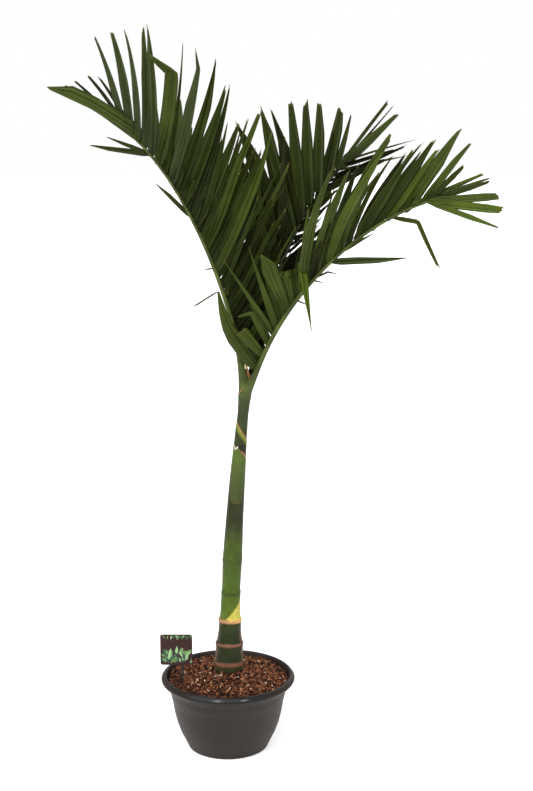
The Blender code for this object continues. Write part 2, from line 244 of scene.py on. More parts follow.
for low, high, socket in ((SATIN, POLISHED, "Roughness"),
                          (SATIN_GLOSS, POLISHED_GLOSS, "Specular IOR Level")):
    wear = node(plastic, "ShaderNodeMapRange", {"To Min": low, "To Max": high},
                Value=polish_and_lip_shade.outputs["Value"])
    join(wear.outputs["Result"], shader.inputs[socket])
# The polished front of the lip is painted darker: painted shade on the lip.
painted_lip_shade = node(plastic, "ShaderNodeMixRGB", {"Color2": linear("201f1f")},
              Fac=polish_and_lip_shade.outputs["Value"], Color1=tone.outputs["Color"])
join(painted_lip_shade.outputs["Color"], shader.inputs["Base Color"])
pot.data.materials.append(plastic)
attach(pot, "root")
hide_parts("pot")

# The soil is coir and bark, reddish brown and dry on top, heaped up a little round the stem. The
# ground sheet is rough and painted dark as shade in the gaps, and loose chips 3 to 12 mm long lie on
# it at all angles, more of them dark near the wall as painted shade.
SOIL_RINGS = 44
SOIL_SIDES = 128
SOIL_SURFACE = ((0.0, 0.2025), (0.046, 0.2025), (0.080, 0.1940), (0.120, 0.1845), (0.150, 0.178))
CHIP_COUNT = 4200
CHIP_SIZES = (0.0028, 0.0100)
CHIP_THICKEST = 0.004
CHIP_LIFT = (-0.0020, 0.0030)
CHIP_FACES = ((0, 1, 2, 3), (4, 7, 6, 5), (0, 4, 5, 1), (1, 5, 6, 2), (2, 6, 7, 3), (3, 7, 4, 0))
CHIP_EDGE = 0.1505
CHIP_CLEARANCE = 0.001
CHIP_SEED = 21
SHADED_FROM = 0.128
SOIL_EDGE = 0.1535
SOIL_STEM = 0.040
SOIL_SINK = 0.0015
# The rings that close the soil below, as (radius, height), and its lumps, as (scale, height)
SOIL_BELOW = ((0.1462, 0.150), (0.090, 0.0065))
COARSE_LUMPS = (55, 0.0028)
FINE_LUMPS = (190, 0.0016)
CRUMB_MM, FIBRE_MM = 3.8, 1.4


def soil_height(radius):
    """Height of the soil's surface at a distance from the pot's axis."""
    for (r0, z0), (r1, z1) in zip(SOIL_SURFACE, SOIL_SURFACE[1:]):
        if radius <= r1:
            return z0 + (z1 - z0) * (radius - r0) / (r1 - r0)
    return SOIL_SURFACE[-1][1]


def add_mesh(name, points, faces, materials, material_of=None, flat=False):
    """One object from points and faces, with a material for each face."""
    mesh = bpy.data.meshes.new(name)
    mesh.from_pydata(points, [], faces)
    for material in materials:
        mesh.materials.append(material)
    if material_of:
        mesh.polygons.foreach_set("material_index", material_of)
    if not flat:
        mesh.shade_smooth()
    item = bpy.data.objects.new(name, mesh)
    bpy.context.scene.collection.objects.link(item)
    return item


points = [(0.0, 0.0, soil_height(0.0))]
faces = []
for i in range(1, SOIL_RINGS + 1):
    radius = SOIL_EDGE * i / SOIL_RINGS
    for j in range(SOIL_SIDES):
        turn = 2 * math.pi * j / SOIL_SIDES
        x, y = radius * math.cos(turn), radius * math.sin(turn)
        lumps = sum(noise(Vector((x, y, layer)) * scale) * height for layer, (scale, height)
                    in ((0.3, COARSE_LUMPS), (1.7, FINE_LUMPS)))
        points.append((x, y, soil_height(radius) - SOIL_SINK + lumps * (i < SOIL_RINGS)))
for j in range(SOIL_SIDES):
    faces.append((0, 1 + j, 1 + (j + 1) % SOIL_SIDES))
for i in range(SOIL_RINGS - 1):
    for j in range(SOIL_SIDES):
        k = (j + 1) % SOIL_SIDES
        low, high = 1 + i * SOIL_SIDES, 1 + (i + 1) * SOIL_SIDES
        faces.append((low + j, high + j, high + k, low + k))
under = len(points)
for radius, z in SOIL_BELOW:
    for j in range(SOIL_SIDES):
        turn = 2 * math.pi * j / SOIL_SIDES
        points.append((radius * math.cos(turn), radius * math.sin(turn), z))
rim = 1 + (SOIL_RINGS - 1) * SOIL_SIDES
for j in range(SOIL_SIDES):
    k = (j + 1) % SOIL_SIDES
    faces.append((rim + j, under + j, under + k, rim + k))
    faces.append((under + j, under + SOIL_SIDES + j, under + SOIL_SIDES + k, under + k))
faces.append(tuple(under + SOIL_SIDES + j for j in reversed(range(SOIL_SIDES))))

# The ground sheet is painted dark, as the shade in the gaps between the chips.
peat, shader = finish("coir_painted_gap_shade", "2c1912", 0.95, 1.5, 0.15)
where = node(peat, "ShaderNodeTexCoord")
crumbs = node(peat, "ShaderNodeTexNoise", {"Scale": 1000 / CRUMB_MM, "Detail": 5.0},
              Vector=where.outputs["Object"])
tone = node(peat, "ShaderNodeValToRGB", Fac=crumbs.outputs["Fac"])
tone.color_ramp.elements[0].position = 0.3
tone.color_ramp.elements[0].color = linear("140a06")
tone.color_ramp.elements[1].position = 0.7
tone.color_ramp.elements[1].color = linear("482a1d")
join(tone.outputs["Color"], shader.inputs["Base Color"])
relief = node(peat, "ShaderNodeBump", {"Strength": 0.8, "Distance": 0.002},
              Height=crumbs.outputs["Fac"])
join(relief.outputs["Normal"], shader.inputs["Normal"])
soil = add_mesh("soil_bed", points, faces, [peat])
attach(soil, "root")
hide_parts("soil")

chip_colours = ("784a33", "5a3523", "945f40", "2e1b13", "ae7c58", "c2a890")
chip_share = (0.26, 0.24, 0.17, 0.23, 0.07, 0.03)
# Near the wall, from SHADED_FROM out, more chips are dark and fewer are pale: painted shade of the wall.
wall_painted_shade_share = (0.21, 0.28, 0.08, 0.38, 0.04, 0.01)
chip_materials = []
for number, colour in enumerate(chip_colours):
    bark, shader = finish("bark_chip_%d" % number, colour, 0.85, 1.5, 0.15)
    where = node(bark, "ShaderNodeTexCoord")
    fibre = node(bark, "ShaderNodeTexNoise", {"Scale": 1000 / FIBRE_MM, "Detail": 3.0},
                 Vector=where.outputs["Object"])
    relief = node(bark, "ShaderNodeBump", {"Strength": 0.5, "Distance": 0.0006},
                  Height=fibre.outputs["Fac"])
    join(relief.outputs["Normal"], shader.inputs["Normal"])
    chip_materials.append(bark)
chance = random.Random(CHIP_SEED)
points, faces, material_of = [], [], []
for _ in range(CHIP_COUNT):
    radius = math.sqrt(chance.uniform(SOIL_STEM ** 2, CHIP_EDGE ** 2))
    turn = chance.uniform(0, 2 * math.pi)
    long = chance.uniform(*CHIP_SIZES) * chance.uniform(0.7, 1.3)
    wide = long * chance.uniform(0.3, 0.8)
    thick = min(wide, CHIP_THICKEST) * chance.uniform(0.3, 0.7)
    radius = min(radius, CHIP_EDGE + CHIP_CLEARANCE - long / 2)
    centre = Vector((radius * math.cos(turn), radius * math.sin(turn),
                     soil_height(radius) + chance.uniform(*CHIP_LIFT)))
    ahead = Vector((chance.uniform(-1, 1), chance.uniform(-1, 1), chance.uniform(-0.7, 0.7)))
    ahead.normalize()
    across = ahead.cross(Vector((chance.uniform(-0.5, 0.5), chance.uniform(-0.5, 0.5), 1)))
    across.normalize()
    up = ahead.cross(across)
    base = len(points)
    for high in (1, -1):
        for a, b in ((-1, -1), (1, -1), (1, 1), (-1, 1)):
            points.append(centre + ahead * (a * long / 2 * chance.uniform(0.6, 1.0))
                          + across * (b * wide / 2 * chance.uniform(0.5, 1.0))
                          + up * (high * thick / 2))
    faces += [tuple(base + v for v in face) for face in CHIP_FACES]
    # Chips near the wall take the darker shares, as painted shade.
    shares = wall_painted_shade_share if radius > SHADED_FROM else chip_share
    colour = chance.choices(range(len(chip_colours)), shares)[0]
    material_of += [colour] * len(CHIP_FACES)
chips = add_mesh("bark_chips", points, faces, chip_materials, material_of, flat=True)
pick_out(chips)
bpy.ops.object.mode_set(mode="EDIT")
bpy.ops.mesh.select_all(action="SELECT")
bpy.ops.mesh.normals_make_consistent(inside=False)
bpy.ops.object.mode_set(mode="OBJECT")
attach(chips, "root")

# The stem is living green tissue, smooth and faintly waxy. It flares to the soil, and brown corky
# rings mark where old leaves fell. The rings stand higher in front, and the joints between are dark.
STEM_SIDES = 96
SKIN_STEP = 0.002
SWELL = 0.014
ROUGHNESS = 0.008
SIDE_TILT = 0.02
STEM_TOP = 0.490
CROWN_BASE = 0.918
RING_TILT = ((0.200, 0.000), (0.223, -0.115), (0.277, -0.090), (0.334, -0.075), (0.400, -0.02),
             (0.490, 0.0))
STEM_PROFILE = (
    (0.0400, 0.1990), (0.0392, 0.2050), (0.0386, 0.2140), (0.0386, 0.2154), (0.0398, 0.2162),
    (0.0402, 0.2206), (0.0396, 0.2250), (0.0376, 0.2258), (0.0362, 0.2290), (0.0352, 0.2350),
    (0.0345, 0.2480), (0.0341, 0.2635), (0.0342, 0.2664), (0.0352, 0.2674), (0.0356, 0.2712),
    (0.0351, 0.2750), (0.0336, 0.2758), (0.0322, 0.2790), (0.0305, 0.2880), (0.0290, 0.3000),
    (0.0281, 0.3130), (0.0280, 0.3268), (0.0281, 0.3284), (0.0291, 0.3292), (0.0294, 0.3340),
    (0.0290, 0.3378), (0.0277, 0.3386), (0.0262, 0.3440), (0.0253, 0.3560), (0.0247, 0.3750),
    (0.0244, 0.4000), (0.0248, 0.4062), (0.0249, 0.4085), (0.0240, 0.4120), (0.0233, 0.4210),
    (0.0236, 0.4400), (0.0240, 0.4600), (0.0244, 0.4750), (0.0245, STEM_TOP))


def stem_line(height):
    """Place of the stem's middle at a height: it leans to +X and bends a little."""
    rise = (height - POT_HEIGHT) / (CROWN_BASE - POT_HEIGHT)
    return 0.0025 + 0.0105 * rise + 0.0325 * rise * rise


def table_at(table, at):
    """Straight-line reading of a table of (place, value) pairs."""
    for (a0, v0), (a1, v1) in zip(table, table[1:]):
        if at <= a1:
            return v0 + (v1 - v0) * max(at - a0, 0.0) / (a1 - a0)
    return table[-1][1]


def fine(profile, step):
    """A profile with more points, none further apart in height than step."""
    points = [profile[0]]
    for (r0, z0), (r1, z1) in zip(profile, profile[1:]):
        count = max(1, math.ceil((z1 - z0) / step))
        points += [(r0 + (r1 - r0) * i / count, z0 + (z1 - z0) * i / count)
                   for i in range(1, count + 1)]
    return points


def mixed_colour(first, second, share):
    """A colour between two, share in 0..1."""
    share = min(max(share, 0.0), 1.0)
    return tuple(a + (b - a) * share for a, b in zip(first, second))


def around(place):
    """Degrees round the stem from the viewer's side, more to the right."""
    return math.degrees(math.atan2(place.x, -place.y))


def paint_skin(item, rule):
    """Give each point of a piece its skin colour, by a rule of (degrees round, height)."""
    colours = item.data.color_attributes.new("skin", "FLOAT_COLOR", "POINT")
    for vertex, colour in zip(item.data.vertices, colours.data):
        colour.color = rule(around(vertex.co), vertex.co.z)


def band_colour(stops, height):
    """Colour at a height in a row of (height, colour) stops."""
    for (z0, c0), (z1, c1) in zip(stops, stops[1:]):
        if height <= z1:
            return mixed_colour(linear(c0), linear(c1), (height - z0) / (z1 - z0))
    return linear(stops[-1][1])


STEM_BANDS = (
    (0.198, "28281a"), (0.2140, "343820"), (0.2158, "6e4a36"), (0.2206, "825a45"), (0.2252, "704c38"),
    (0.2262, "262b17"), (0.2320, "2a3119"), (0.2638, "2e361b"), (0.2668, "5f4230"), (0.2708, "8f6650"),
    (0.2750, "75513e"), (0.2764, "262c16"), (0.3020, "2d361b"), (0.3270, "38401f"),
    (0.3288, "8d6b4a"), (0.3335, "b78e66"), (0.3380, "a57a55"), (0.3392, "5a6a28"),
    (0.3600, "56671f"), (0.3980, "4e6220"), (0.4050, "3a461a"), (0.4125, "47591d"),
    (0.4300, "4b6120"), (0.4900, "435420"))
YELLOW_FOOT = 0.3386
YELLOW_RISE = 0.056
YELLOW_LEFT, YELLOW_TURN = -28, 105
TOP_RING_FOOT = 0.3285
CORK_FROM, CORK_BLEND, CORK_TO = 48, 18, 120
# Streaks in the skin, wider than life so that they show, twenty times as long, and blotches
STREAK_MM, BLOTCH_MM = 2.4, 22
STREAK_SQUEEZE = 1 / 20


def stem_rule(turn, height):
    """Bands of the stem, its yellow wedge above the top ring, and cork at the sides."""
    colour = band_colour(STEM_BANDS, height)
    rough = noise(Vector((turn * 0.09, height * 160, 0.5)))
    wedge = turn - YELLOW_LEFT - YELLOW_TURN * (height - YELLOW_FOOT) / YELLOW_RISE + 6 * rough
    if YELLOW_FOOT < height < YELLOW_FOOT + YELLOW_RISE and turn < 150:
        colour = mixed_colour(colour, linear("c3bb52"), wedge / 9)
    if TOP_RING_FOOT < height < YELLOW_FOOT and turn > -20:
        colour = mixed_colour(colour, linear("e5b268"), (turn + 20) / 60 + rough)
    side = (abs(turn) - CORK_FROM) / CORK_BLEND
    if height < TOP_RING_FOOT and abs(turn) < CORK_TO:
        colour = mixed_colour(colour, linear("5e4632"), side + 0.8 * rough - 0.25)
    return colour


skin, shader = finish("waxy_green_skin", "46552a", 0.38, 1.45, 0.16)
where = node(skin, "ShaderNodeTexCoord")
painted = node(skin, "ShaderNodeAttribute", {"attribute_name": "skin"})
stretch = node(skin, "ShaderNodeMapping", {"Scale": (1.0, 1.0, STREAK_SQUEEZE)},
               Vector=where.outputs["Object"])
streaks = node(skin, "ShaderNodeTexNoise", {"Scale": 1000 / STREAK_MM, "Detail": 2.0},
               Vector=stretch.outputs["Vector"])
lighter = node(skin, "ShaderNodeMapRange", {"To Min": 0.78, "To Max": 1.22},
               Value=streaks.outputs["Fac"])
blotch = node(skin, "ShaderNodeTexNoise", {"Scale": 1000 / BLOTCH_MM, "Detail": 4.0},
              Vector=where.outputs["Object"])
patch = node(skin, "ShaderNodeMapRange", {"From Min": 0.3, "From Max": 0.7, "To Min": 0.82,
                                          "To Max": 1.16}, Value=blotch.outputs["Fac"])
both = node(skin, "ShaderNodeMath", {"operation": "MULTIPLY"}, i0=lighter.outputs["Result"],
            i1=patch.outputs["Result"])
shade = node(skin, "ShaderNodeVectorMath", {"operation": "SCALE"}, i0=painted.outputs["Color"],
             i3=both.outputs["Value"])
join(shade.outputs["Vector"], shader.inputs["Base Color"])
relief = node(skin, "ShaderNodeBump", {"Strength": 0.25, "Distance": 0.0006},
              Height=streaks.outputs["Fac"])
join(relief.outputs["Normal"], shader.inputs["Normal"])

stem = turned("ringed_stem", fine(STEM_PROFILE, SKIN_STEP), STEM_SIDES)
close_ends(stem)
paint_skin(stem, stem_rule)
for vertex in stem.data.vertices:
    x, y, z = vertex.co
    swell = 1 + SWELL * noise(Vector((x * 20, y * 20, z * 9))) + ROUGHNESS * noise(vertex.co * 120)
    tilt = table_at(RING_TILT, z) if z < STEM_TOP - 0.001 else 0.0
    vertex.co = (x * swell + stem_line(z), y * swell, z + tilt * y + SIDE_TILT * tilt * x)
smooth(stem)
stem.data.materials.append(skin)
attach(stem, "root")
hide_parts("trunk")

# Two leaf sheaths wrap the stem one over the other, smooth waxy tubes with a thin dry margin where
# each one opens. The lower is dark olive under a paler tongue, and the upper has a pale slanting lip.
OUTER_SHEATH = ((0.0249, 0.4903), (0.0243, 0.500), (0.0236, 0.515), (0.0222, 0.565), (0.0209, 0.615),
                (0.0198, 0.660), (0.0190, 0.698), (0.0186, 0.712), (0.0181, 0.727), (0.0174, 0.744),
                (0.0167, 0.765), (0.0161, 0.7897))
INNER_SHEATH = ((0.0157, 0.7890), (0.0153, 0.800), (0.0148, 0.820), (0.0142, 0.842),
                (0.0137, 0.862), (0.0141, 0.876), (0.0147, 0.890), (0.0158, 0.903),
                (0.0166, 0.912), (0.01675, 0.9192))
LAYER = 0.0005
WAVINESS = 0.0003
TONGUE_FOOT, TONGUE_RISE = 0.641, 0.11
TONGUE_MIDDLE, TONGUE_SIDE = 4, 80
OPENING_HEIGHT, OPENING_SLOPE = 0.786, 0.00030
NOTCH_PLACE, NOTCH_SPREAD, NOTCH_DEPTH = -42, 13, 0.010
PINK_FROM = 14
LIP_HEIGHT, LIP_SLOPE, LIP_DEPTH = 0.8254, 0.000345, 0.017
MARGIN, THIN_MARGIN = 0.0026, 0.0016
OUTER_BANDS = ((0.490, "435420"), (0.530, "46561f"), (0.560, "3c4623"), (0.600, "2f341d"),
               (0.660, "30351d"), (0.790, "343a20"))
TONGUE_BANDS = ((0.630, "414a24"), (0.690, "47522a"), (0.740, "515f2a"), (0.790, "5d6f2c"))
INNER_BANDS = ((0.790, "343b22"), (0.830, "3a4226"), (0.870, "394226"), (0.900, "3f4a2a"),
               (0.918, "4d582f"))


def tongue_edge(turn):
    """Height of the lower edge of the paler tongue on the lower sheath."""
    return TONGUE_FOOT + TONGUE_RISE * (min(abs(turn - TONGUE_MIDDLE), TONGUE_SIDE) / TONGUE_SIDE) ** 4


def opening_edge(turn):
    """Height of the margin where the lower sheath opens, with a notch left of the middle."""
    notch = NOTCH_DEPTH * math.exp(-((turn - NOTCH_PLACE) / NOTCH_SPREAD) ** 2)
    return OPENING_HEIGHT - OPENING_SLOPE * max(turn + 25, -10) - notch


def lip_edge(turn):
    """Height of the slanting margin of the upper sheath."""
    return LIP_HEIGHT - LIP_SLOPE * min(max(turn, -80), 80)


def outer_rule(turn, height):
    """Dark sheath, paler tongue, and a dry pink and white margin at its opening."""
    colour = band_colour(OUTER_BANDS, height)
    inside = height - tongue_edge(turn)
    if inside > 0 and abs(turn - TONGUE_MIDDLE) < TONGUE_SIDE:
        colour = mixed_colour(linear("554a2c"), band_colour(TONGUE_BANDS, height), inside / 0.006)
    above = height - opening_edge(turn)
    if above > 0:
        colour = linear("2b2f1c")
    if abs(above) < MARGIN and (-62 < turn < -18 or PINK_FROM < turn < 100):
        colour = linear("e6dcc6") if turn < 0 else linear("b06e58")
    return colour


def inner_rule(turn, height):
    """Olive sheath with a pale lip and its dry pink margin."""
    colour = band_colour(INNER_BANDS, height)
    below = lip_edge(turn) - height
    if 0 < below < LIP_DEPTH and abs(turn) < 110:
        colour = mixed_colour(linear("94963c"), linear("55622c"), below / LIP_DEPTH)
    if abs(below) < THIN_MARGIN and abs(turn) < 110:
        colour = linear("a5705a")
    return colour


def sheath(name, profile, rule, edge, node_name):
    """One sheath tube round the stem, a layer thicker under its margin, closed at both ends."""
    tube = turned(name, fine(profile, SKIN_STEP), STEM_SIDES)
    close_ends(tube)
    paint_skin(tube, rule)
    for vertex in tube.data.vertices:
        x, y, z = vertex.co
        radius = math.hypot(x, y)
        layer = LAYER if z < edge(around(vertex.co)) else 0.0
        grown = (radius + layer + WAVINESS * noise(vertex.co * 60)) / radius
        vertex.co = (x * grown + stem_line(z), y * grown, z)
    smooth(tube)
    tube.data.materials.append(skin)
    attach(tube, "root")
    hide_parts(node_name)


sheath("lower_sheath", OUTER_SHEATH, outer_rule, opening_edge, "outer_sheath")
sheath("upper_sheath", INNER_SHEATH, inner_rule, lip_edge, "inner_sheath")

# Three fronds. Each has a smooth green rib, thick and channelled at its foot, and ribbed leaflets
# in two rows, grown by the same rule as the plain solids, but pleated, thin and bitten at the tips.
GAP = 0.0003
UP = Vector((0.0, 0.0, 1.0))
NEAR, FAR = 0, 1
# Across a blade that faces the viewer, and across one that the light only grazes
FACING = (1.0, 0.2, 0.2)
SHADY = (-0.45, -0.56, 0.70)


def aimed(way, size, tint=None, **more):
    """What sets a leaflet apart that has a way and a size of its own."""
    return {"way": way, "size": size, "tint": tint, **more}


# A tint of 0 in "apart" darkens leaflets deep in the crown, as painted shade, and a tint of 4 gives top
# leaflets a painted sheen.
# "apart" holds the leaflets that stand out, by (row, pair): degrees more spread and shares of the
# rule's length and width, or a way and size of their own, and whatever else sets them apart
FRONDS = {
    "left_frond": {
        "rib": ((0.0405, 0.001, CROWN_BASE + GAP), (0.043, 0.018, 1.102),
                (-0.105, 0.038, 1.473), (-0.262, 0.063, 1.564)),
        "foot_radius": 0.0080, "first": 0.13, "last": 0.965, "pairs": 24, "spacing": 1.0,
        "widths": (0.017, 0.022, 0.026, 0.028, 0.024), "foot_width": 0.50, "sweep": 0.16,
        "rows": ({"turn": -10, "louvre": -14,
                  "spread": (42, 46, 46, 46, 50, 43, 39),
                  "length": (0.270, 0.320, 0.365, 0.335, 0.325, 0.295, 0.220)},
                 {"turn": 60, "louvre": 24,
                  "spread": (58, 60, 62, 62, 60, 50, 38),
                  "length": (0.240, 0.270, 0.290, 0.280, 0.260, 0.215, 0.160)}),
        "end_foot": 0.86,
        "ends": ((0, -1, 0.188, 0.032, 0.14, -1, 2, 0.80,
                  ((0.0, (-0.73, 0.0, 0.68)), (0.20, (-0.84, 0.0, 0.545)), (0.58, (-0.90, 0.0, 0.44)))),
                 (-10, 4, 0.156, 0.015, 0.7, -1, 2, 0.80, ())),
        "strays": ((0.825, 180, 41, 0.150, 0.014, 0.2, 1, ()),
                   (0.825, 180, 27, 0.115, 0.010, 0.2, 1, ()),
                   (0.59, 180, 21, 0.118, 0.012, 0.2, 1, ()), (0.43, 180, 80, 0.030, 0.004, 0.2, 2, ())),
        "apart": {
            (NEAR, 0): dict(length=0.65), (NEAR, 1): dict(length=0.60),
            (NEAR, 2): dict(length=0.65), (NEAR, 3): dict(length=0.62),
            (NEAR, 4): dict(length=0.80), (NEAR, 5): dict(spread=-4, length=0.85),
            (NEAR, 6): dict(spread=-1, length=1.07),
            (NEAR, 7): dict(spread=-1, length=0.86, width=0.6), (NEAR, 8): dict(spread=-4),
            (NEAR, 9): dict(spread=2, length=0.80, width=0.9),
            (NEAR, 9.5): dict(spread=-5, length=1.25, width=1.7, kinks=(0.6, 0.7), tint=1),
            (NEAR, 10): dict(width=1.0, tip=0.35, tint=2),
            (NEAR, 11): dict(spread=-1, length=0.95, width=0.6),
            (NEAR, 12): dict(spread=4, length=0.80, width=1.35),
            (NEAR, 13): dict(spread=1, length=0.94, width=1.15, kinks=(0.3, 0.4), tint=1),
            (NEAR, 14): dict(spread=6, length=0.91, width=1.3, tint=1),
            (NEAR, 15): dict(spread=1, length=1.07, width=1.15, tip=0.06, tint=1),
            (NEAR, 16): dict(spread=-1, length=1.03, width=1.15, kinks=(0.35, 0.6), tip=0.1, tint=4,
                             folds=((0.86, (-0.22, 0.0, 0.975)),)),
            (NEAR, 17): dict(spread=-1, length=0.95, width=0.55, kinks=(0.2, 0.3), tip=0.12),
            (NEAR, 18): dict(spread=6, length=0.94, width=1.45, kinks=(0.70, 0.74), tip=0.3, tint=2,
                             folds=((0.763, (-0.81, 0.0, 0.58)),)),
            (NEAR, 19): dict(spread=-1, length=1.08, width=0.95, tip=0.10, tint=4),
            (NEAR, 20): dict(spread=2, width=0.85, tip=0.35, tint=4),
            (NEAR, 21): dict(spread=7, length=0.99, width=0.85, kinks=(0.50, 0.40), tip=0.25, tint=4),
            (NEAR, 22): dict(spread=3.6, length=1.04, kinks=(0.55, 0.50), tip=0.35, tint=4),
            (NEAR, 23): dict(spread=2, width=0.9, kinks=(0.50, 0.45), tip=0.3, tint=4),
            (FAR, 16): dict(length=0.8), (FAR, 18): dict(spread=8), (FAR, 20): dict(spread=8),
            (FAR, 21): dict(spread=-18, length=1.06, width=0.45, tip=0.4, tint=0,
                            across=(0.7, 0.3, 0.7)),
            (FAR, 22): dict(spread=-19, length=1.08, width=0.40, tip=0.6, tint=0,
                            across=(0.7, 0.3, 0.7)),
            (FAR, 23): dict(spread=-22, length=1.06, width=0.40, tip=0.6, tint=0,
                            across=(0.7, 0.3, 0.7)),
            **{(FAR, pair): dict(tint=0, across=FACING) for pair in (9, 10, 11, 12, 13)},
            **{(NEAR, pair + 0.5): dict(length=0.35, width=1.3, tint=1) for pair in range(12, 18)}},
        "seed": 3, "rib_skin": 0, "clasp": 0.155, "fine": (1.6, 1.8, 0.9, 0.0, 0.0),
        "tint_weights_with_painted_shade": ((0.50, 0.36, 0.14, 0.0), (0.0, 0.25, 0.65, 0.10))},
    "right_frond": {
        "rib": ((0.0575, -0.0085, CROWN_BASE + GAP), (0.104, -0.039, 1.118),
                (0.281, -0.099, 1.334), (0.482, -0.120, 1.396)),
        "foot_radius": 0.0080, "first": 0.11, "last": 0.96, "pairs": 17, "spacing": 1.3,
        "widths": (0.029, 0.025, 0.019, 0.022, 0.020), "foot_width": 0.50, "sweep": 0.30,
        "rows": ({"turn": 50, "louvre": -14,
                  "spread": (50, 61, 52, 33, 26, 21, 34),
                  "length": (0.255, 0.250, 0.230, 0.330, 0.320, 0.280, 0.150)},
                 {"turn": -40, "louvre": 14,
                  "spread": (58, 72, 66, 46, 40, 39, 20),
                  "length": (0.270, 0.250, 0.200, 0.250, 0.250, 0.200, 0.170)}),
        "end_foot": 0.98,
        "ends": ((0, 1, 0.138, 0.012, 0.5, 0, 1, 0.7, ()), (0, 31, 0.106, 0.013, 0.5, 0, 1, 0.7, ()),
                 (180, 13, 0.152, 0.019, 0.80, 0, 2, 0.8, ()),
                 (180, 25, 0.162, 0.020, 0.80, 0, 3, 0.8, ()),
                 (180, 39, 0.166, 0.013, 0.3, 0, 3, 0.6, ())),
        "strays": ((0.58, 180, 40, 0.183, 0.017, 0.1, 4, ()), (0.63, 180, 10, 0.090, 0.008, 0.1, 2, ()),
                   (0.40, 180, 75, 0.032, 0.004, 0.2, 1, ()), (0.49, 180, 60, 0.028, 0.004, 0.2, 1, ()),
                   (0.50, 180, 22, 0.058, 0.005, 0.3, 1, ((0.6, (0.97, 0.0, -0.2)),)),
                   (0.84, 180, 38, 0.176, 0.011, 0.6, 2, ((0.35, (0.42, 0.0, -0.91)),))),
        "apart": {
            (NEAR, 0): aimed((-0.585, -0.1, 0.81), (0.284, 0.037), 2, full_at=0.12, kinks=(0.33, 0.36),
                             tip=-0.33, across=(0.82, 0.2, 0.57),
                             folds=((0.33, (-0.52, -0.1, 0.85)), (0.44, (-0.33, -0.1, 0.945)),
                                    (0.58, (-0.22, -0.1, 0.975)), (0.77, (-0.84, -0.1, -0.50)))),
            (NEAR, 1): aimed((-0.60, -0.1, 0.80), (0.050, 0.012), 0),
            (NEAR, 2): aimed((-0.66, -0.1, 0.75), (0.080, 0.031), 2, full_at=0.8, kinks=(0.95, 0.95),
                             tip=0.95, across=(0.75, 0.2, 0.66)),
            (NEAR, 3): aimed((-0.42, -0.1, 0.90), (0.119, 0.022), 2, full_at=0.5, kinks=(0.6, 0.6),
                             tip=0.3, folds=((0.735, (-0.98, -0.1, -0.21)),)),
            (NEAR, 3.5): aimed((-0.45, -0.1, 0.89), (0.100, 0.012), 1),
            (NEAR, 4): aimed((-0.53, -0.1, 0.84), (0.216, 0.018), 2, kinks=(0.12, 0.20), tip=0.03),
            (NEAR, 4.5): aimed((-0.32, -0.1, 0.94), (0.208, 0.020), 2, kinks=(0.2, 0.3), tip=0.05),
            (NEAR, 5): aimed((-0.27, -0.1, 0.96), (0.169, 0.020), 1),
            (NEAR, 5.5): aimed((-0.22, -0.1, 0.97), (0.140, 0.018), 2),
            (NEAR, 6): aimed((-0.40, -0.15, 0.92), (0.155, 0.042), 2, full_at=0.7, kinks=(0.72, 0.80),
                             tip=0.12),
            (NEAR, 6.5): aimed((-0.20, -0.15, 0.97), (0.108, 0.032), 2, full_at=0.8, kinks=(0.9, 0.9),
                               tip=0.95, folds=((0.84, (0.0, 0.5, -0.87)),)),
            (NEAR, 7): aimed((-0.08, -0.15, 0.99), (0.095, 0.022), 1, full_at=0.5, kinks=(0.9, 0.9),
                             tip=0.95, folds=((0.82, (0.0, 0.5, -0.87)),)),
            (NEAR, 7.5): aimed((0.0, -0.2, 0.98), (0.240, 0.020), 3, kinks=(0.45, 0.50), tip=0.03,
                               folds=((0.32, (0.17, -0.2, -0.97)),)),
            (NEAR, 7.75): aimed((0.08, -0.1, 0.99), (0.072, 0.020), 2, tip=0.6),
            (NEAR, 8): dict(spread=-2, length=1.04, width=1.4, kinks=(0.3, 0.4), tint=2),
            (NEAR, 8.5): dict(length=0.6, width=1.3, tint=0),
            (NEAR, 8.75): dict(length=0.6, width=1.3, tint=0),
            (NEAR, 9): dict(spread=-1, length=0.90, width=1.4, tint=2),
            (NEAR, 10): dict(spread=-2, length=1.10, width=1.2, tint=3),
            (NEAR, 11): dict(spread=9, length=1.10, width=1.1, kinks=(0.5, 0.7), tip=0.45, tint=2),
            (NEAR, 12): aimed((0.50, -0.1, 0.86), (0.246, 0.028), 2, kinks=(0.35, 0.5), tip=0.15),
            (NEAR, 13): aimed((0.56, -0.1, 0.82), (0.249, 0.024), 1, tip=0.3),
            (NEAR, 14): aimed((0.565, -0.1, 0.82), (0.197, 0.022), 3, tip=0.3),
            (NEAR, 14.5): aimed((0.54, 0.0, 0.84), (0.150, 0.020), 1),
            (NEAR, 15): aimed((0.52, -0.1, 0.85), (0.224, 0.032), 2, tip=0.2),
            (NEAR, 15.5): dict(length=0.3),
            (NEAR, 16): aimed((0.60, -0.1, 0.79), (0.176, 0.019), 2, tip=0.3),
            (FAR, 5.5): dict(length=0.5), (FAR, 6): dict(length=0.5, tint=0),
            (FAR, 6.5): dict(length=0.5), (FAR, 7): dict(length=0.6, tint=0),
            (FAR, 8): dict(length=0.8, width=1.3, tint=0),
            (FAR, 9): dict(length=0.8, width=1.3, tint=0), (FAR, 10): dict(width=1.3, tint=0),
            (FAR, 11): dict(width=1.0, tint=0, across=FACING),
            (FAR, 12): dict(spread=-7, tint=0, across=FACING), (FAR, 13): dict(spread=-6),
            (FAR, 14): dict(length=0.9),
            (FAR, 15): aimed((0.89, 0.0, 0.45), (0.195, 0.013), tip=0.5, across=(0.4, 0.2, -0.9)),
            (FAR, 16): aimed((0.93, 0.0, 0.37), (0.160, 0.011), tip=0.4, across=(0.4, 0.2, -0.9)),
            **{(FAR, pair): dict(tint=0) for pair in range(6)}},
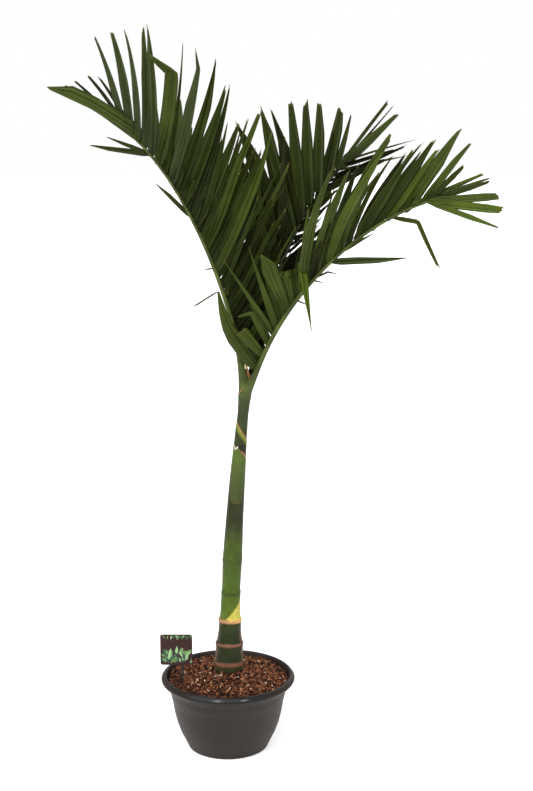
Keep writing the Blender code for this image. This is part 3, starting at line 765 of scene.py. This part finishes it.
        "seed": 5, "rib_skin": 0, "clasp": 0.056, "fine": (0.0, 0.5, 1.4, 1.1, -0.3),
        "tint_weights_with_painted_shade": ((0.15, 0.40, 0.30, 0.15), (0.05, 0.30, 0.35, 0.30))},
    "back_frond": {
        "rib": ((0.0525, 0.0118, CROWN_BASE + GAP), (0.092, 0.066, 1.157),
                (0.171, 0.243, 1.358), (0.334, 0.379, 1.486)),
        "foot_radius": 0.0065, "first": 0.34, "last": 0.95, "pairs": 11, "spacing": 1.0,
        "widths": (0.028, 0.028, 0.028, 0.032, 0.024), "foot_width": 0.28, "sweep": 0.14,
        "rows": ({"turn": -20, "louvre": -10,
                  "spread": (33, 31, 30, 28, 29, 27, 24),
                  "length": (0.415, 0.400, 0.365, 0.325, 0.275, 0.225, 0.180)},
                 {"turn": 88, "louvre": 40,
                  "spread": (52, 50, 48, 46, 45, 44, 38),
                  "length": (0.290, 0.290, 0.280, 0.265, 0.250, 0.200, 0.130)}),
        "end_foot": 0.90,
        "ends": ((-20, 9, 0.184, 0.009, 0.3, 0, 1, 0.4, ()),
                 (-20, 1, 0.183, 0.028, 0.40, 0, 2, 0.55, ())),
        "strays": (),
        "apart": {
            (NEAR, 0): aimed((-0.24, 0.22, 0.946), (0.288, 0.036), 0, across=FACING),
            (NEAR, 1): aimed((-0.27, 0.25, 0.93), (0.292, 0.038), 0, across=FACING),
            (NEAR, 2): aimed((-0.35, 0.28, 0.894), (0.315, 0.040), 0, across=FACING),
            (NEAR, 2.5): aimed((-0.34, 0.28, 0.90), (0.310, 0.034), 0, tip=0.1, across=FACING),
            (NEAR, 2.75): dict(width=1.5, tint=0),
            (NEAR, 3): aimed((-0.34, 0.28, 0.90), (0.349, 0.042), 0, kinks=(0.62, 0.70), tip=0.1,
                             across=FACING),
            (NEAR, 3.5): aimed((-0.30, 0.26, 0.92), (0.230, 0.028), 0, tip=0.1, across=FACING),
            (NEAR, 4): aimed((-0.27, 0.24, 0.93), (0.336, 0.033), 1, kinks=(0.62, 0.80), tip=0.1,
                             across=FACING),
            (NEAR, 4.5): aimed((-0.21, 0.25, 0.945), (0.230, 0.030), 0, tip=0.1, across=FACING),
            (NEAR, 5): aimed((-0.07, 0.30, 0.95), (0.312, 0.031), 1, kinks=(0.60, 0.55), tip=0.42,
                             across=FACING),
            (NEAR, 5.5): aimed((-0.28, 0.29, 0.915), (0.286, 0.028), 0, kinks=(0.60, 0.60), tip=0.1,
                               across=FACING),
            (NEAR, 6): aimed((-0.04, 0.37, 0.93), (0.286, 0.031), 1, kinks=(0.55, 0.62), tip=0.42,
                             across=FACING),
            (NEAR, 7): aimed((0.025, 0.46, 0.887), (0.262, 0.030), 1, kinks=(0.50, 0.68), tip=0.40,
                             across=FACING),
            (NEAR, 8): aimed((0.167, 0.42, 0.89), (0.211, 0.030), 1, kinks=(0.55, 0.75), tip=0.55,
                             across=FACING),
            (NEAR, 8.5): aimed((0.562, 0.32, 0.763), (0.257, 0.010), 1, tip=0.8, across=FACING),
            (NEAR, 9): aimed((0.216, 0.40, 0.89), (0.164, 0.015), 1, tip=0.25, across=FACING),
            (NEAR, 10): dict(length=0.2),
            (FAR, 7): aimed((0.876, 0.2, 0.438), (0.216, 0.017), 0, across=SHADY),
            (FAR, 7.5): aimed((0.907, 0.2, 0.371), (0.148, 0.018), 0, across=SHADY),
            (FAR, 8): aimed((0.881, 0.2, 0.429), (0.224, 0.014), 0, tip=0.4, across=SHADY),
            (FAR, 8.5): aimed((0.928, 0.2, 0.313), (0.144, 0.018), 0, across=SHADY),
            (FAR, 9): aimed((0.961, 0.2, 0.19), (0.198, 0.006), 2, tip=0.1),
            (FAR, 9.5): aimed((0.938, 0.2, 0.283), (0.141, 0.013), 0, tip=0.4, across=SHADY),
            (FAR, 10): aimed((0.931, 0.2, 0.306), (0.190, 0.006), 2, tip=0.1),
            **{(FAR, pair): dict(length=0.8, tint=0, across=SHADY) for pair in range(3)},
            **{(FAR, pair): aimed((0.74, 0.2, 0.64), (0.115, 0.010), 0, across=SHADY)
               for pair in (2.25, 2.5, 3)},
            **{(FAR, pair): aimed((0.74, 0.2, 0.64), (0.115, 0.018), 0, across=SHADY)
               for pair in (4, 5, 6)},
            **{(FAR, pair + 0.5): dict(length=0.2) for pair in range(3, 7)}},
        "seed": 10, "rib_skin": 1, "clasp": 0.050, "fine": (1.2, 1.2, 1.0, 0.6, 0.4),
        "tint_weights_with_painted_shade": ((0.75, 0.25, 0.0, 0.0), (0.40, 0.50, 0.10, 0.0))},
}
TURN_WANDER = 5.0
SPREAD_WANDER = 2.5
LENGTH_WANDER = 0.05
ROW_OFFSET = 0.005
END_PLACE = 0.995
END_FOOT_WIDTH = 0.4
END_STEP = 0.0035
END_TROUGH = 0.3
DROOP = 0.06
# Between the leaflets of the solids stand finer ones, up to two in each gap: how long and how wide
FINE_PLACES = (0.5, 0.25)
FINE_LENGTHS = (0.62, 0.92)
FINE_WIDTHS = (0.40, 0.75)
RIB_TIP_RADIUS = 0.0034
RIB_TAPER = 0.75
BLADE_STATIONS = 30
BLADE_LANES = 6
BLADE_THICKNESS = 0.0006
# A blade widens from its narrow foot, and each side starts to taper at a kink of its own
FULL_AT = 0.14
FOOT_FLARE = 0.7
SHORT_KINKS = (0.28, 0.46)
LONG_KINKS = (0.50, 0.72)
TIP_WIDTHS = (0.10, 0.26)
THREAD_WIDTH = 0.13
PLEAT_DEPTH = 0.055
GUTTER = (0.20, 0.65)
TIP_BITE = 0.035
BITTEN_FROM = 0.9
TWIST = 0.5
SIDE_BOW = 0.05
LIMPNESS = (0.0, 0.0, 0.05, 0.12, 0.25)
KNEES = 0.25
KNEE_PLACES = (0.4, 0.8)
KNEE_DROP = (0.15, 0.45)
STEADY_TWIST = 0.2
BEND_RUN = 0.035
# Veins across a blade and in its length, drawn coarser than life, and mottling in millimetres
VEINS_ACROSS, VEINS_ALONG = 22, 0.8
MOTTLE_MM, RIB_MOTTLE_MM = 55, 33
LOOKS_SEED = 100


def between(table, at):
    """Read a smooth value from evenly spaced table values, at in 0..1."""
    place = min(max(at, 0.0), 1.0) * (len(table) - 1)
    low = min(int(place), len(table) - 2)
    share = place - low
    return table[low] * (1 - share) + table[low + 1] * share


def rib_frame(rib, t):
    """Place, direction, upper side and sideways direction of a rib at t."""
    a, b, c, d = rib
    u = 1 - t
    place = a * u ** 3 + b * (3 * u * u * t) + c * (3 * u * t * t) + d * t ** 3
    along = ((b - a) * (3 * u * u) + (c - b) * (6 * u * t) + (d - c) * (3 * t * t)).normalized()
    heading = d - a
    heading.z = 0.0
    upper = along.cross(UP.cross(heading)).normalized()
    return place, along, upper, along.cross(upper)


def direction(rib, t, turn, spread):
    """Place on the rib, its direction, and the way out of it at a turn and a spread."""
    foot, along, upper, sideways = rib_frame(rib, t)
    away = upper * math.cos(math.radians(turn)) + sideways * math.sin(math.radians(turn))
    off = math.radians(spread)
    return foot, along, along * math.cos(off) + away * math.sin(off)


def leaflet(foot, along, out, length, width, share, **more):
    """The record of one leaflet: where it stands, its way out, its size and what sets it apart."""
    return {"foot": foot, "along": along, "out": out, "length": length, "width": width,
            "share": share, "across": along, "louvre": 0.0, "sweep": 0.0, "droop": 0.0,
            "foot_width": END_FOOT_WIDTH, "full_at": FULL_AT, "kinks": None, "tip": None,
            "tint": None, "lean": 0, "folds": (), "steady": True, "trough": 1.0, **more}


def frond_leaflets(plan):
    """Every leaflet of a frond: the rule's own, those at its end, the strays and the finer ones."""
    rib = [Vector(point) for point in plan["rib"]]
    chance = random.Random(plan["seed"])
    last_pair = plan["pairs"] - 1
    grown = []

    def grow(number, pair, turn, spread, length, width):
        share = pair / last_pair
        t = plan["first"] + (plan["last"] - plan["first"]) * share ** plan["spacing"]
        tweak = plan["apart"].get((number, pair), {})
        foot, along, out = direction(rib, t + (2 * number - 1) * ROW_OFFSET, turn,
                                     spread + tweak.get("spread", 0))
        record = leaflet(foot, along, out, length * tweak.get("length", 1),
                         width * tweak.get("width", 1), share, sweep=plan["sweep"], droop=DROOP,
                         louvre=math.radians(plan["rows"][number]["louvre"]),
                         foot_width=plan["foot_width"], steady="folds" in tweak or "way" in tweak)
        if "way" in tweak:
            record["out"] = Vector(tweak["way"]).normalized()
            record["length"], record["width"] = tweak["size"]
            record["sweep"] = 0.0
        if "across" in tweak:
            record["across"] = Vector(tweak["across"])
            record["louvre"] = 0.0
        for key in ("full_at", "kinks", "tip", "tint", "folds"):
            record[key] = tweak.get(key, record[key])
        grown.append(record)

    for pair in range(plan["pairs"]):
        share = pair / last_pair
        for number in (NEAR, FAR):
            row = plan["rows"][number]
            turn = row["turn"] + TURN_WANDER * chance.uniform(-1, 1)
            spread = between(row["spread"], share) + SPREAD_WANDER * chance.uniform(-1, 1)
            length = between(row["length"], share) * (1 + LENGTH_WANDER * chance.uniform(-1, 1))
            grow(number, pair, turn, spread, length, between(plan["widths"], share))
    for number, end in enumerate(plan["ends"]):
        turn, spread, length, width, tip, lean, tint, kink, folds = end
        place, along, out = direction(rib, END_PLACE, turn, spread)
        foot, _, upper, sideways = rib_frame(rib, plan["end_foot"])
        foot += sideways * (END_STEP * number)
        way = place + out * length - foot
        grown.append(leaflet(foot, along, way.normalized(), way.length, width, 1.0, across=-upper,
                             tip=tip, lean=lean, tint=tint, kinks=(kink, kink), folds=folds,
                             trough=END_TROUGH))
    for t, turn, spread, length, width, tip, tint, folds in plan["strays"]:
        foot, along, out = direction(rib, t, turn, spread)
        grown.append(leaflet(foot, along, out, length, width, t, tip=tip, tint=tint, folds=folds))
    for pair in range(1, plan["pairs"]):
        for order, back in enumerate(FINE_PLACES):
            share = (pair - back) / last_pair
            for number in (NEAR, FAR):
                row = plan["rows"][number]
                turn = row["turn"] + 2 * TURN_WANDER * chance.uniform(-1, 1)
                spread = between(row["spread"], share) + 2 * SPREAD_WANDER * chance.uniform(-1, 1)
                length = between(row["length"], share) * chance.uniform(*FINE_LENGTHS)
                width = between(plan["widths"], share) * chance.uniform(*FINE_WIDTHS)
                wanted = between(plan["fine"], share) - order > chance.random()
                if wanted or (number, pair - back) in plan["apart"]:
                    grow(number, pair - back, turn, spread, length, width)
    return grown


def ramp(at, start, run):
    """How far a place is into a stretch, from 0 before it to 1 after it."""
    return min(max((at - start) / run, 0.0), 1.0)


def half_width(share, foot_width, full_at, kink, tip):
    """Half of a blade's width at a share of its length, as a share of its full width."""
    foot = foot_width + (1 - foot_width) * ramp(share, 0.0, full_at) ** FOOT_FLARE
    return foot * max(1 - (1 - tip) * ramp(share, kink, 1 - kink), THREAD_WIDTH) / 2


def blade(leaf, chance):
    """Points, faces and UVs of one pleated leaflet, a closed thin sheet with a bitten tip."""
    kinks = [chance.uniform(*SHORT_KINKS), chance.uniform(*LONG_KINKS)]
    chance.shuffle(kinks)
    kinks = leaf["kinks"] or kinks
    tip = chance.uniform(*TIP_WIDTHS)
    tip = leaf["tip"] or tip
    twist = chance.uniform(-TWIST, TWIST)
    side_bow = chance.uniform(-SIDE_BOW, SIDE_BOW)
    gutter = chance.uniform(*GUTTER) * leaf["trough"]
    slant = chance.uniform(-1.0, 1.0)
    limp = chance.choice(LIMPNESS)
    knee = chance.uniform(*KNEE_PLACES)
    knee_drop = chance.uniform(*KNEE_DROP) if chance.random() < KNEES else 0.0
    bites = [chance.uniform(-1, 1) for _ in range(BLADE_LANES + 1)]
    if leaf["steady"]:
        twist, limp, knee_drop = STEADY_TWIST * twist, 0.0, 0.0
    rows = []
    at = leaf["foot"].copy()
    flat = None
    last = 0.0
    for i in range(BLADE_STATIONS + 1):
        share = i / BLADE_STATIONS
        middle = (share + last) / 2
        heading = leaf["out"] + leaf["along"] * (leaf["sweep"] * (2 * middle - 1))
        heading -= UP * ((leaf["droop"] + limp) * middle * middle)
        heading -= UP * (knee_drop * ramp(share, knee, BEND_RUN))
        heading.normalize()
        for place, way in leaf["folds"]:
            heading = heading.lerp(Vector(way).normalized(), ramp(share, place, BEND_RUN))
            heading.normalize()
        if flat is None:
            across = (leaf["across"] - heading * leaf["across"].dot(heading)).normalized()
            flat = (across * math.cos(leaf["louvre"])
                    + heading.cross(across) * math.sin(leaf["louvre"]))
        flat = (flat - heading * flat.dot(heading)).normalized()
        turn = twist * (share - last)
        flat = flat * math.cos(turn) + heading.cross(flat) * math.sin(turn)
        face = heading.cross(flat)
        at = at + (heading + flat * (side_bow * share)) * (leaf["length"] * (share - last))
        last = share
        row = []
        for j in range(BLADE_LANES + 1):
            v = 2 * j / BLADE_LANES - 1
            half = leaf["width"] * half_width(share, leaf["foot_width"], leaf["full_at"],
                                              kinks[v > 0], tip)
            height = abs(v) * gutter * half + PLEAT_DEPTH * 2 * half * (-1) ** j
            ragged = (bites[j] * 0.5 + slant * v) * ramp(share, BITTEN_FROM, 1 - BITTEN_FROM)
            reach = TIP_BITE * leaf["length"] * ragged
            aside = flat * ((v + leaf["lean"]) * half)
            row.append((at + aside + face * height + heading * reach, face, v, share))
        rows.append(row)
    points, uvs = [], []
    for thick in (1, -1):
        for row in rows:
            for place, face, v, share in row:
                points.append(place + face * (thick * BLADE_THICKNESS / 2))
                uvs.append(((v + 1) / 2, share))
    lanes, stations = BLADE_LANES + 1, BLADE_STATIONS + 1
    other = lanes * stations
    faces = []
    for i in range(stations - 1):
        for j in range(lanes - 1):
            a = i * lanes + j
            faces.append((a, a + lanes, a + lanes + 1, a + 1))
            faces.append((other + a, other + a + 1, other + a + lanes + 1, other + a + lanes))
        for j, flip in ((0, 0), (lanes - 1, 1)):
            a, b = i * lanes + j, (i + 1) * lanes + j
            faces.append((a, other + a, other + b, b) if not flip else (a, b, other + b, other + a))
    for i, flip in ((0, 0), (stations - 1, 1)):
        for j in range(lanes - 1):
            a, b = i * lanes + j, i * lanes + j + 1
            faces.append((a, b, other + b, other + a) if not flip else (a, other + a, other + b, b))
    return points, faces, uvs


# Five copies of one leaf material: the shade green, and the deep green where it goes to leaflets deep in
# the crown, are painted shade; the waxy green has a higher gloss, and its bluer colour is partly painted
# sheen.
leaf_tones_with_painted_shade = (("leaf_painted_shade_green", "20260b", 0.07), ("leaf_deep_green_and_painted_shade", "2d360f", 0.13),
              ("leaf_mid_green", "3d4816", 0.17), ("leaf_light_green", "495819", 0.17),
              ("leaf_waxy_green_and_painted_sheen", "39441f", 0.28))
leaf_materials = []
for name, colour, gloss in leaf_tones_with_painted_shade:
    leaf, shader = finish(name, colour, 0.40, 1.45, gloss)
    uv = node(leaf, "ShaderNodeUVMap", {"uv_map": "blade"})
    apart = node(leaf, "ShaderNodeSeparateXYZ", Vector=uv.outputs["UV"])
    stretch = node(leaf, "ShaderNodeMapping", {"Scale": (VEINS_ACROSS, VEINS_ALONG, 1.0)},
                   Vector=uv.outputs["UV"])
    veins = node(leaf, "ShaderNodeTexNoise", {"Scale": 1.0, "Detail": 3.0, "Roughness": 0.6},
                 Vector=stretch.outputs["Vector"])
    where = node(leaf, "ShaderNodeTexCoord")
    mottle = node(leaf, "ShaderNodeTexNoise", {"Scale": 1000 / MOTTLE_MM, "Detail": 3.0},
                  Vector=where.outputs["Object"])
    stripe = node(leaf, "ShaderNodeMapRange", {"From Min": 0.35, "From Max": 0.65, "To Min": 0.60,
                                               "To Max": 1.50}, Value=veins.outputs["Fac"])
    patch = node(leaf, "ShaderNodeMapRange", {"From Min": 0.35, "From Max": 0.65, "To Min": 0.85,
                                              "To Max": 1.15}, Value=mottle.outputs["Fac"])
    both = node(leaf, "ShaderNodeMath", {"operation": "MULTIPLY"}, i0=stripe.outputs["Result"],
                i1=patch.outputs["Result"])
    # Each blade is darker towards its foot: painted shade of the crown's middle.
    painted_foot_shade = node(leaf, "ShaderNodeMapRange", {"From Min": 0.0, "From Max": 0.45, "To Min": 0.60,
                                              "To Max": 1.05}, Value=apart.outputs["Y"])
    both = node(leaf, "ShaderNodeMath", {"operation": "MULTIPLY"}, i0=both.outputs["Value"],
                i1=painted_foot_shade.outputs["Result"])
    base = node(leaf, "ShaderNodeRGB")
    base.outputs[0].default_value = linear(colour)
    shade = node(leaf, "ShaderNodeVectorMath", {"operation": "SCALE"}, i0=base.outputs[0],
                 i3=both.outputs["Value"])
    tip = node(leaf, "ShaderNodeMapRange", {"From Min": 0.965, "From Max": 1.0},
               Value=apart.outputs["Y"])
    dry = node(leaf, "ShaderNodeMix", {"data_type": "RGBA", 7: linear("5c5426")},
               i0=tip.outputs["Result"], i6=shade.outputs["Vector"])
    join(dry.outputs[2], shader.inputs["Base Color"])
    relief = node(leaf, "ShaderNodeBump", {"Strength": 0.35, "Distance": 0.0006},
                  Height=veins.outputs["Fac"])
    join(relief.outputs["Normal"], shader.inputs["Normal"])
    leaf_materials.append(leaf)

rib_skins = []
# The second skin is a darker copy of the first, for the back frond's rib: painted shade.
for name, low, high in (("smooth_rib_skin", "3d4622", "586330"),
                        ("painted_shade_rib_skin", "1f2610", "2c3516")):
    skin, shader = finish(name, high, 0.4, 1.45, 0.2)
    where = node(skin, "ShaderNodeTexCoord")
    clouds = node(skin, "ShaderNodeTexNoise", {"Scale": 1000 / RIB_MOTTLE_MM, "Detail": 3.0},
                  Vector=where.outputs["Object"])
    tone = node(skin, "ShaderNodeValToRGB", Fac=clouds.outputs["Fac"])
    tone.color_ramp.elements[0].position = 0.35
    tone.color_ramp.elements[0].color = linear(low)
    tone.color_ramp.elements[1].position = 0.65
    tone.color_ramp.elements[1].color = linear(high)
    join(tone.outputs["Color"], shader.inputs["Base Color"])
    rib_skins.append(skin)

RIB_SIDES = 16
RIB_STATIONS = 90
RIB_FLATNESS = 0.72
FORK = Vector((stem_line(CROWN_BASE), 0.0, CROWN_BASE + GAP))
FORK_RADIUS = 0.0166
CLASP_FALL = 1.6


def rib_mesh(plan):
    """Points and faces of a rib, round below and flatter above, closed at both ends.

    At its foot it clasps the top of the upper sheath and has the sheath's own width.
    """
    rib = [Vector(point) for point in plan["rib"]]
    points, faces = [], []
    for i in range(RIB_STATIONS):
        t = i / (RIB_STATIONS - 1)
        place, along, upper, sideways = rib_frame(rib, t)
        if i == 0:
            upper = Vector((upper.x, upper.y, 0.0)).normalized()
            sideways = UP.cross(upper)
        radius = plan["foot_radius"] + (RIB_TIP_RADIUS - plan["foot_radius"]) * t ** RIB_TAPER
        hold = math.exp(-(t / plan["clasp"]) ** CLASP_FALL)
        place = place + (FORK - rib[0]) * hold
        radius += (FORK_RADIUS - plan["foot_radius"]) * hold
        for j in range(RIB_SIDES):
            turn = 2 * math.pi * j / RIB_SIDES
            flatten = RIB_FLATNESS if math.cos(turn) > 0.2 and hold < 0.2 else 1.0
            points.append(place + upper * (radius * math.cos(turn) * flatten)
                          + sideways * (radius * math.sin(turn)))
    for i in range(RIB_STATIONS - 1):
        for j in range(RIB_SIDES):
            k = (j + 1) % RIB_SIDES
            faces.append((i * RIB_SIDES + j, i * RIB_SIDES + k, (i + 1) * RIB_SIDES + k,
                          (i + 1) * RIB_SIDES + j))
    faces.append(tuple(reversed(range(RIB_SIDES))))
    faces.append(tuple((RIB_STATIONS - 1) * RIB_SIDES + j for j in range(RIB_SIDES)))
    return points, faces


for name, plan in FRONDS.items():
    chance = random.Random(plan["seed"] + LOOKS_SEED)
    points, faces, uvs, material_of = [], [], [], []
    for leaf in frond_leaflets(plan):
        some, more, flat_map = blade(leaf, chance)
        base = len(points)
        points += some
        uvs += flat_map
        faces += [tuple(base + v for v in face) for face in more]
        # The tint weights move from the dark tints at a frond's foot to lighter ones at its tip, and the
        # back frond's weights are mostly dark: painted shade.
        weights = mixed_colour(*plan["tint_weights_with_painted_shade"], leaf["share"])
        tint = chance.choices(range(len(weights)), weights)[0]
        material_of += [tint if leaf["tint"] is None else leaf["tint"]] * len(more)
    leaves = add_mesh(name + "_leaflets", points, faces, leaf_materials, material_of)
    for edge in leaves.data.edges:
        edge.use_edge_sharp = abs(edge.vertices[0] - edge.vertices[1]) == BLADE_LANES + 1
    layer = leaves.data.uv_layers.new(name="blade")
    for loop in leaves.data.loops:
        layer.data[loop.index].uv = uvs[loop.vertex_index]
    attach(leaves, "root")
    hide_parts(name)
    rib = add_mesh(name + "_rib", *rib_mesh(plan), [rib_skins[plan["rib_skin"]]])
    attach(rib, "root")

# Dry slivers of the sheath's margin cling to the left frond's foot, thin brown, cream and pinkish
# fibre, each a narrow blade like the leaflets.
SLIVER_SEED = 4
SLIVERS = (("dry_brown_margin", "8a5a32", (0.0566, -0.0120, 0.9560), (-0.24, 0.0, 0.97), 0.027, 0.0066),
           ("dry_cream_fibre", "d8c88e", (0.0478, -0.0135, 0.9800), (-0.14, 0.0, 0.99), 0.017, 0.0050),
           ("dry_pink_margin", "a97a50", (0.0310, -0.0100, 0.9170), (0.47, -0.2, 0.88), 0.021, 0.0034))
chance = random.Random(SLIVER_SEED)
for name, colour, foot, way, length, width in SLIVERS:
    record = leaflet(Vector(foot), UP, Vector(way).normalized(), length, width, 0.5,
                     across=Vector((1.0, 0.0, 0.0)), kinks=(0.4, 0.6), tip=0.2)
    points, faces, _ = blade(record, chance)
    sliver = add_mesh(name, points, faces, [finish(name, colour, 0.7, 1.5, 0.2)[0]])
    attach(sliver, "root")

# The tag is a small laminated card held upright on a thin black pick of moulded plastic. Its face
# is dark brown with a plain pattern of green leaf shapes.
CARD_SIZE = 0.080
CARD_THICKNESS = 0.0012
CARD_CENTRE = Vector((-0.1272, -0.062, 0.2770))
CARD_CORNER = 0.005
PICK_X = -0.1130
PICK_WIDTH = 0.005
PICK_THICKNESS = 0.0025
PICK_LAP = 0.030
PICK_FOOT = 0.176
PICK_CORNER = 0.0008
PRINT_LIFT = 0.0002
SPECK_MM = 17


def slab(name, low, high, corner, material):
    """An upright slab with rounded corners in its face."""
    low, high = Vector(low), Vector(high)
    bpy.ops.object.select_all(action="DESELECT")
    bpy.ops.mesh.primitive_cube_add(size=1, location=(low + high) / 2)
    item = bpy.context.object
    item.name = name
    item.scale = high - low
    bpy.ops.object.transform_apply(location=True, rotation=True, scale=True)
    bpy.ops.object.mode_set(mode="EDIT")
    bpy.ops.mesh.select_all(action="DESELECT")
    bpy.ops.object.mode_set(mode="OBJECT")
    for edge in item.data.edges:
        a, b = (item.data.vertices[v].co for v in edge.vertices)
        edge.select = abs((a - b).normalized().y) > 0.9
    bpy.ops.object.mode_set(mode="EDIT")
    bpy.ops.mesh.select_mode(type="EDGE")
    bpy.ops.mesh.bevel(offset=corner, segments=5, affect="EDGES")
    bpy.ops.object.mode_set(mode="OBJECT")
    item.data.materials.append(material)
    return item


card_stock, shader = finish("laminated_card", "3a2420", 0.5, 1.5, 0.25)
where = node(card_stock, "ShaderNodeTexCoord")
specks = node(card_stock, "ShaderNodeTexNoise", {"Scale": 1000 / SPECK_MM, "Detail": 2.0},
              Vector=where.outputs["Object"])
tone = node(card_stock, "ShaderNodeValToRGB", Fac=specks.outputs["Fac"])
tone.color_ramp.elements[0].color = linear("2b1713")
tone.color_ramp.elements[1].color = linear("3b231c")
join(tone.outputs["Color"], shader.inputs["Base Color"])
half = CARD_SIZE / 2
card = slab("tag_card", CARD_CENTRE + Vector((-half, -CARD_THICKNESS, -half)),
            CARD_CENTRE + Vector((half, 0, half)), CARD_CORNER, card_stock)
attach(card, "root")
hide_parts("label_card")

inks = [finish("printed_ink_%d" % number, colour, 0.5, 1.5, 0.25)[0]
        for number, colour in enumerate(("4a6b46", "6f9458", "9cc08a", "375a4a"))]
LEAVES_BELOW = 64
LEAVES_ABOVE = 26
PRINT_MARGIN = 0.002
PRINT_SEED = 8
PRINT_STEP = 0.00001
PRINT_REACH = 0.036
PRINT_BAND = 0.026
PRINT_LEAN = 1.2
PRINT_LEAF_SIZES = (0.012, 0.022)
HANGING_SIZE = 0.6
LEAF_SHAPE = ((0.0, 0.0), (0.3, 0.15), (0.6, 0.13), (1.0, 0.0), (0.6, -0.13), (0.3, -0.15))
chance = random.Random(PRINT_SEED)
points, faces, material_of = [], [], []
front = CARD_CENTRE.y - CARD_THICKNESS - PRINT_LIFT
edge = half - PRINT_MARGIN
for i in range(LEAVES_BELOW + LEAVES_ABOVE):
    upright = i < LEAVES_BELOW
    x = CARD_CENTRE.x + chance.uniform(-PRINT_REACH, PRINT_REACH)
    z = CARD_CENTRE.z + (PRINT_BAND * chance.random() - PRINT_REACH if upright else edge)
    lean = chance.uniform(-PRINT_LEAN, PRINT_LEAN) + (0 if upright else math.pi)
    long = chance.uniform(*PRINT_LEAF_SIZES) * (1 if upright else HANGING_SIZE)
    lean_x, lean_z = math.sin(lean), math.cos(lean)
    base = len(points)
    for share, wide in LEAF_SHAPE:
        px = x + (lean_x * share + lean_z * wide) * long
        pz = z + (lean_z * share - lean_x * wide) * long
        points.append((min(max(px, CARD_CENTRE.x - edge), CARD_CENTRE.x + edge), front - PRINT_STEP * i,
                       min(max(pz, CARD_CENTRE.z - edge), CARD_CENTRE.z + edge)))
    faces.append(tuple(range(base, base + len(LEAF_SHAPE))))
    material_of.append(chance.randrange(len(inks)))
leaf_print = add_mesh("tag_print", points, faces, inks, material_of, flat=True)
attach(leaf_print, "root")

black = finish("black_moulded_plastic", "161616", 0.45)[0]
pick = slab("tag_pick", (PICK_X - PICK_WIDTH / 2, CARD_CENTRE.y + GAP, PICK_FOOT),
            (PICK_X + PICK_WIDTH / 2, CARD_CENTRE.y + PICK_THICKNESS,
             CARD_CENTRE.z - half + PICK_LAP), PICK_CORNER, black)
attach(pick, "root")
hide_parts("label_pick")

bpy.context.view_layer.update()
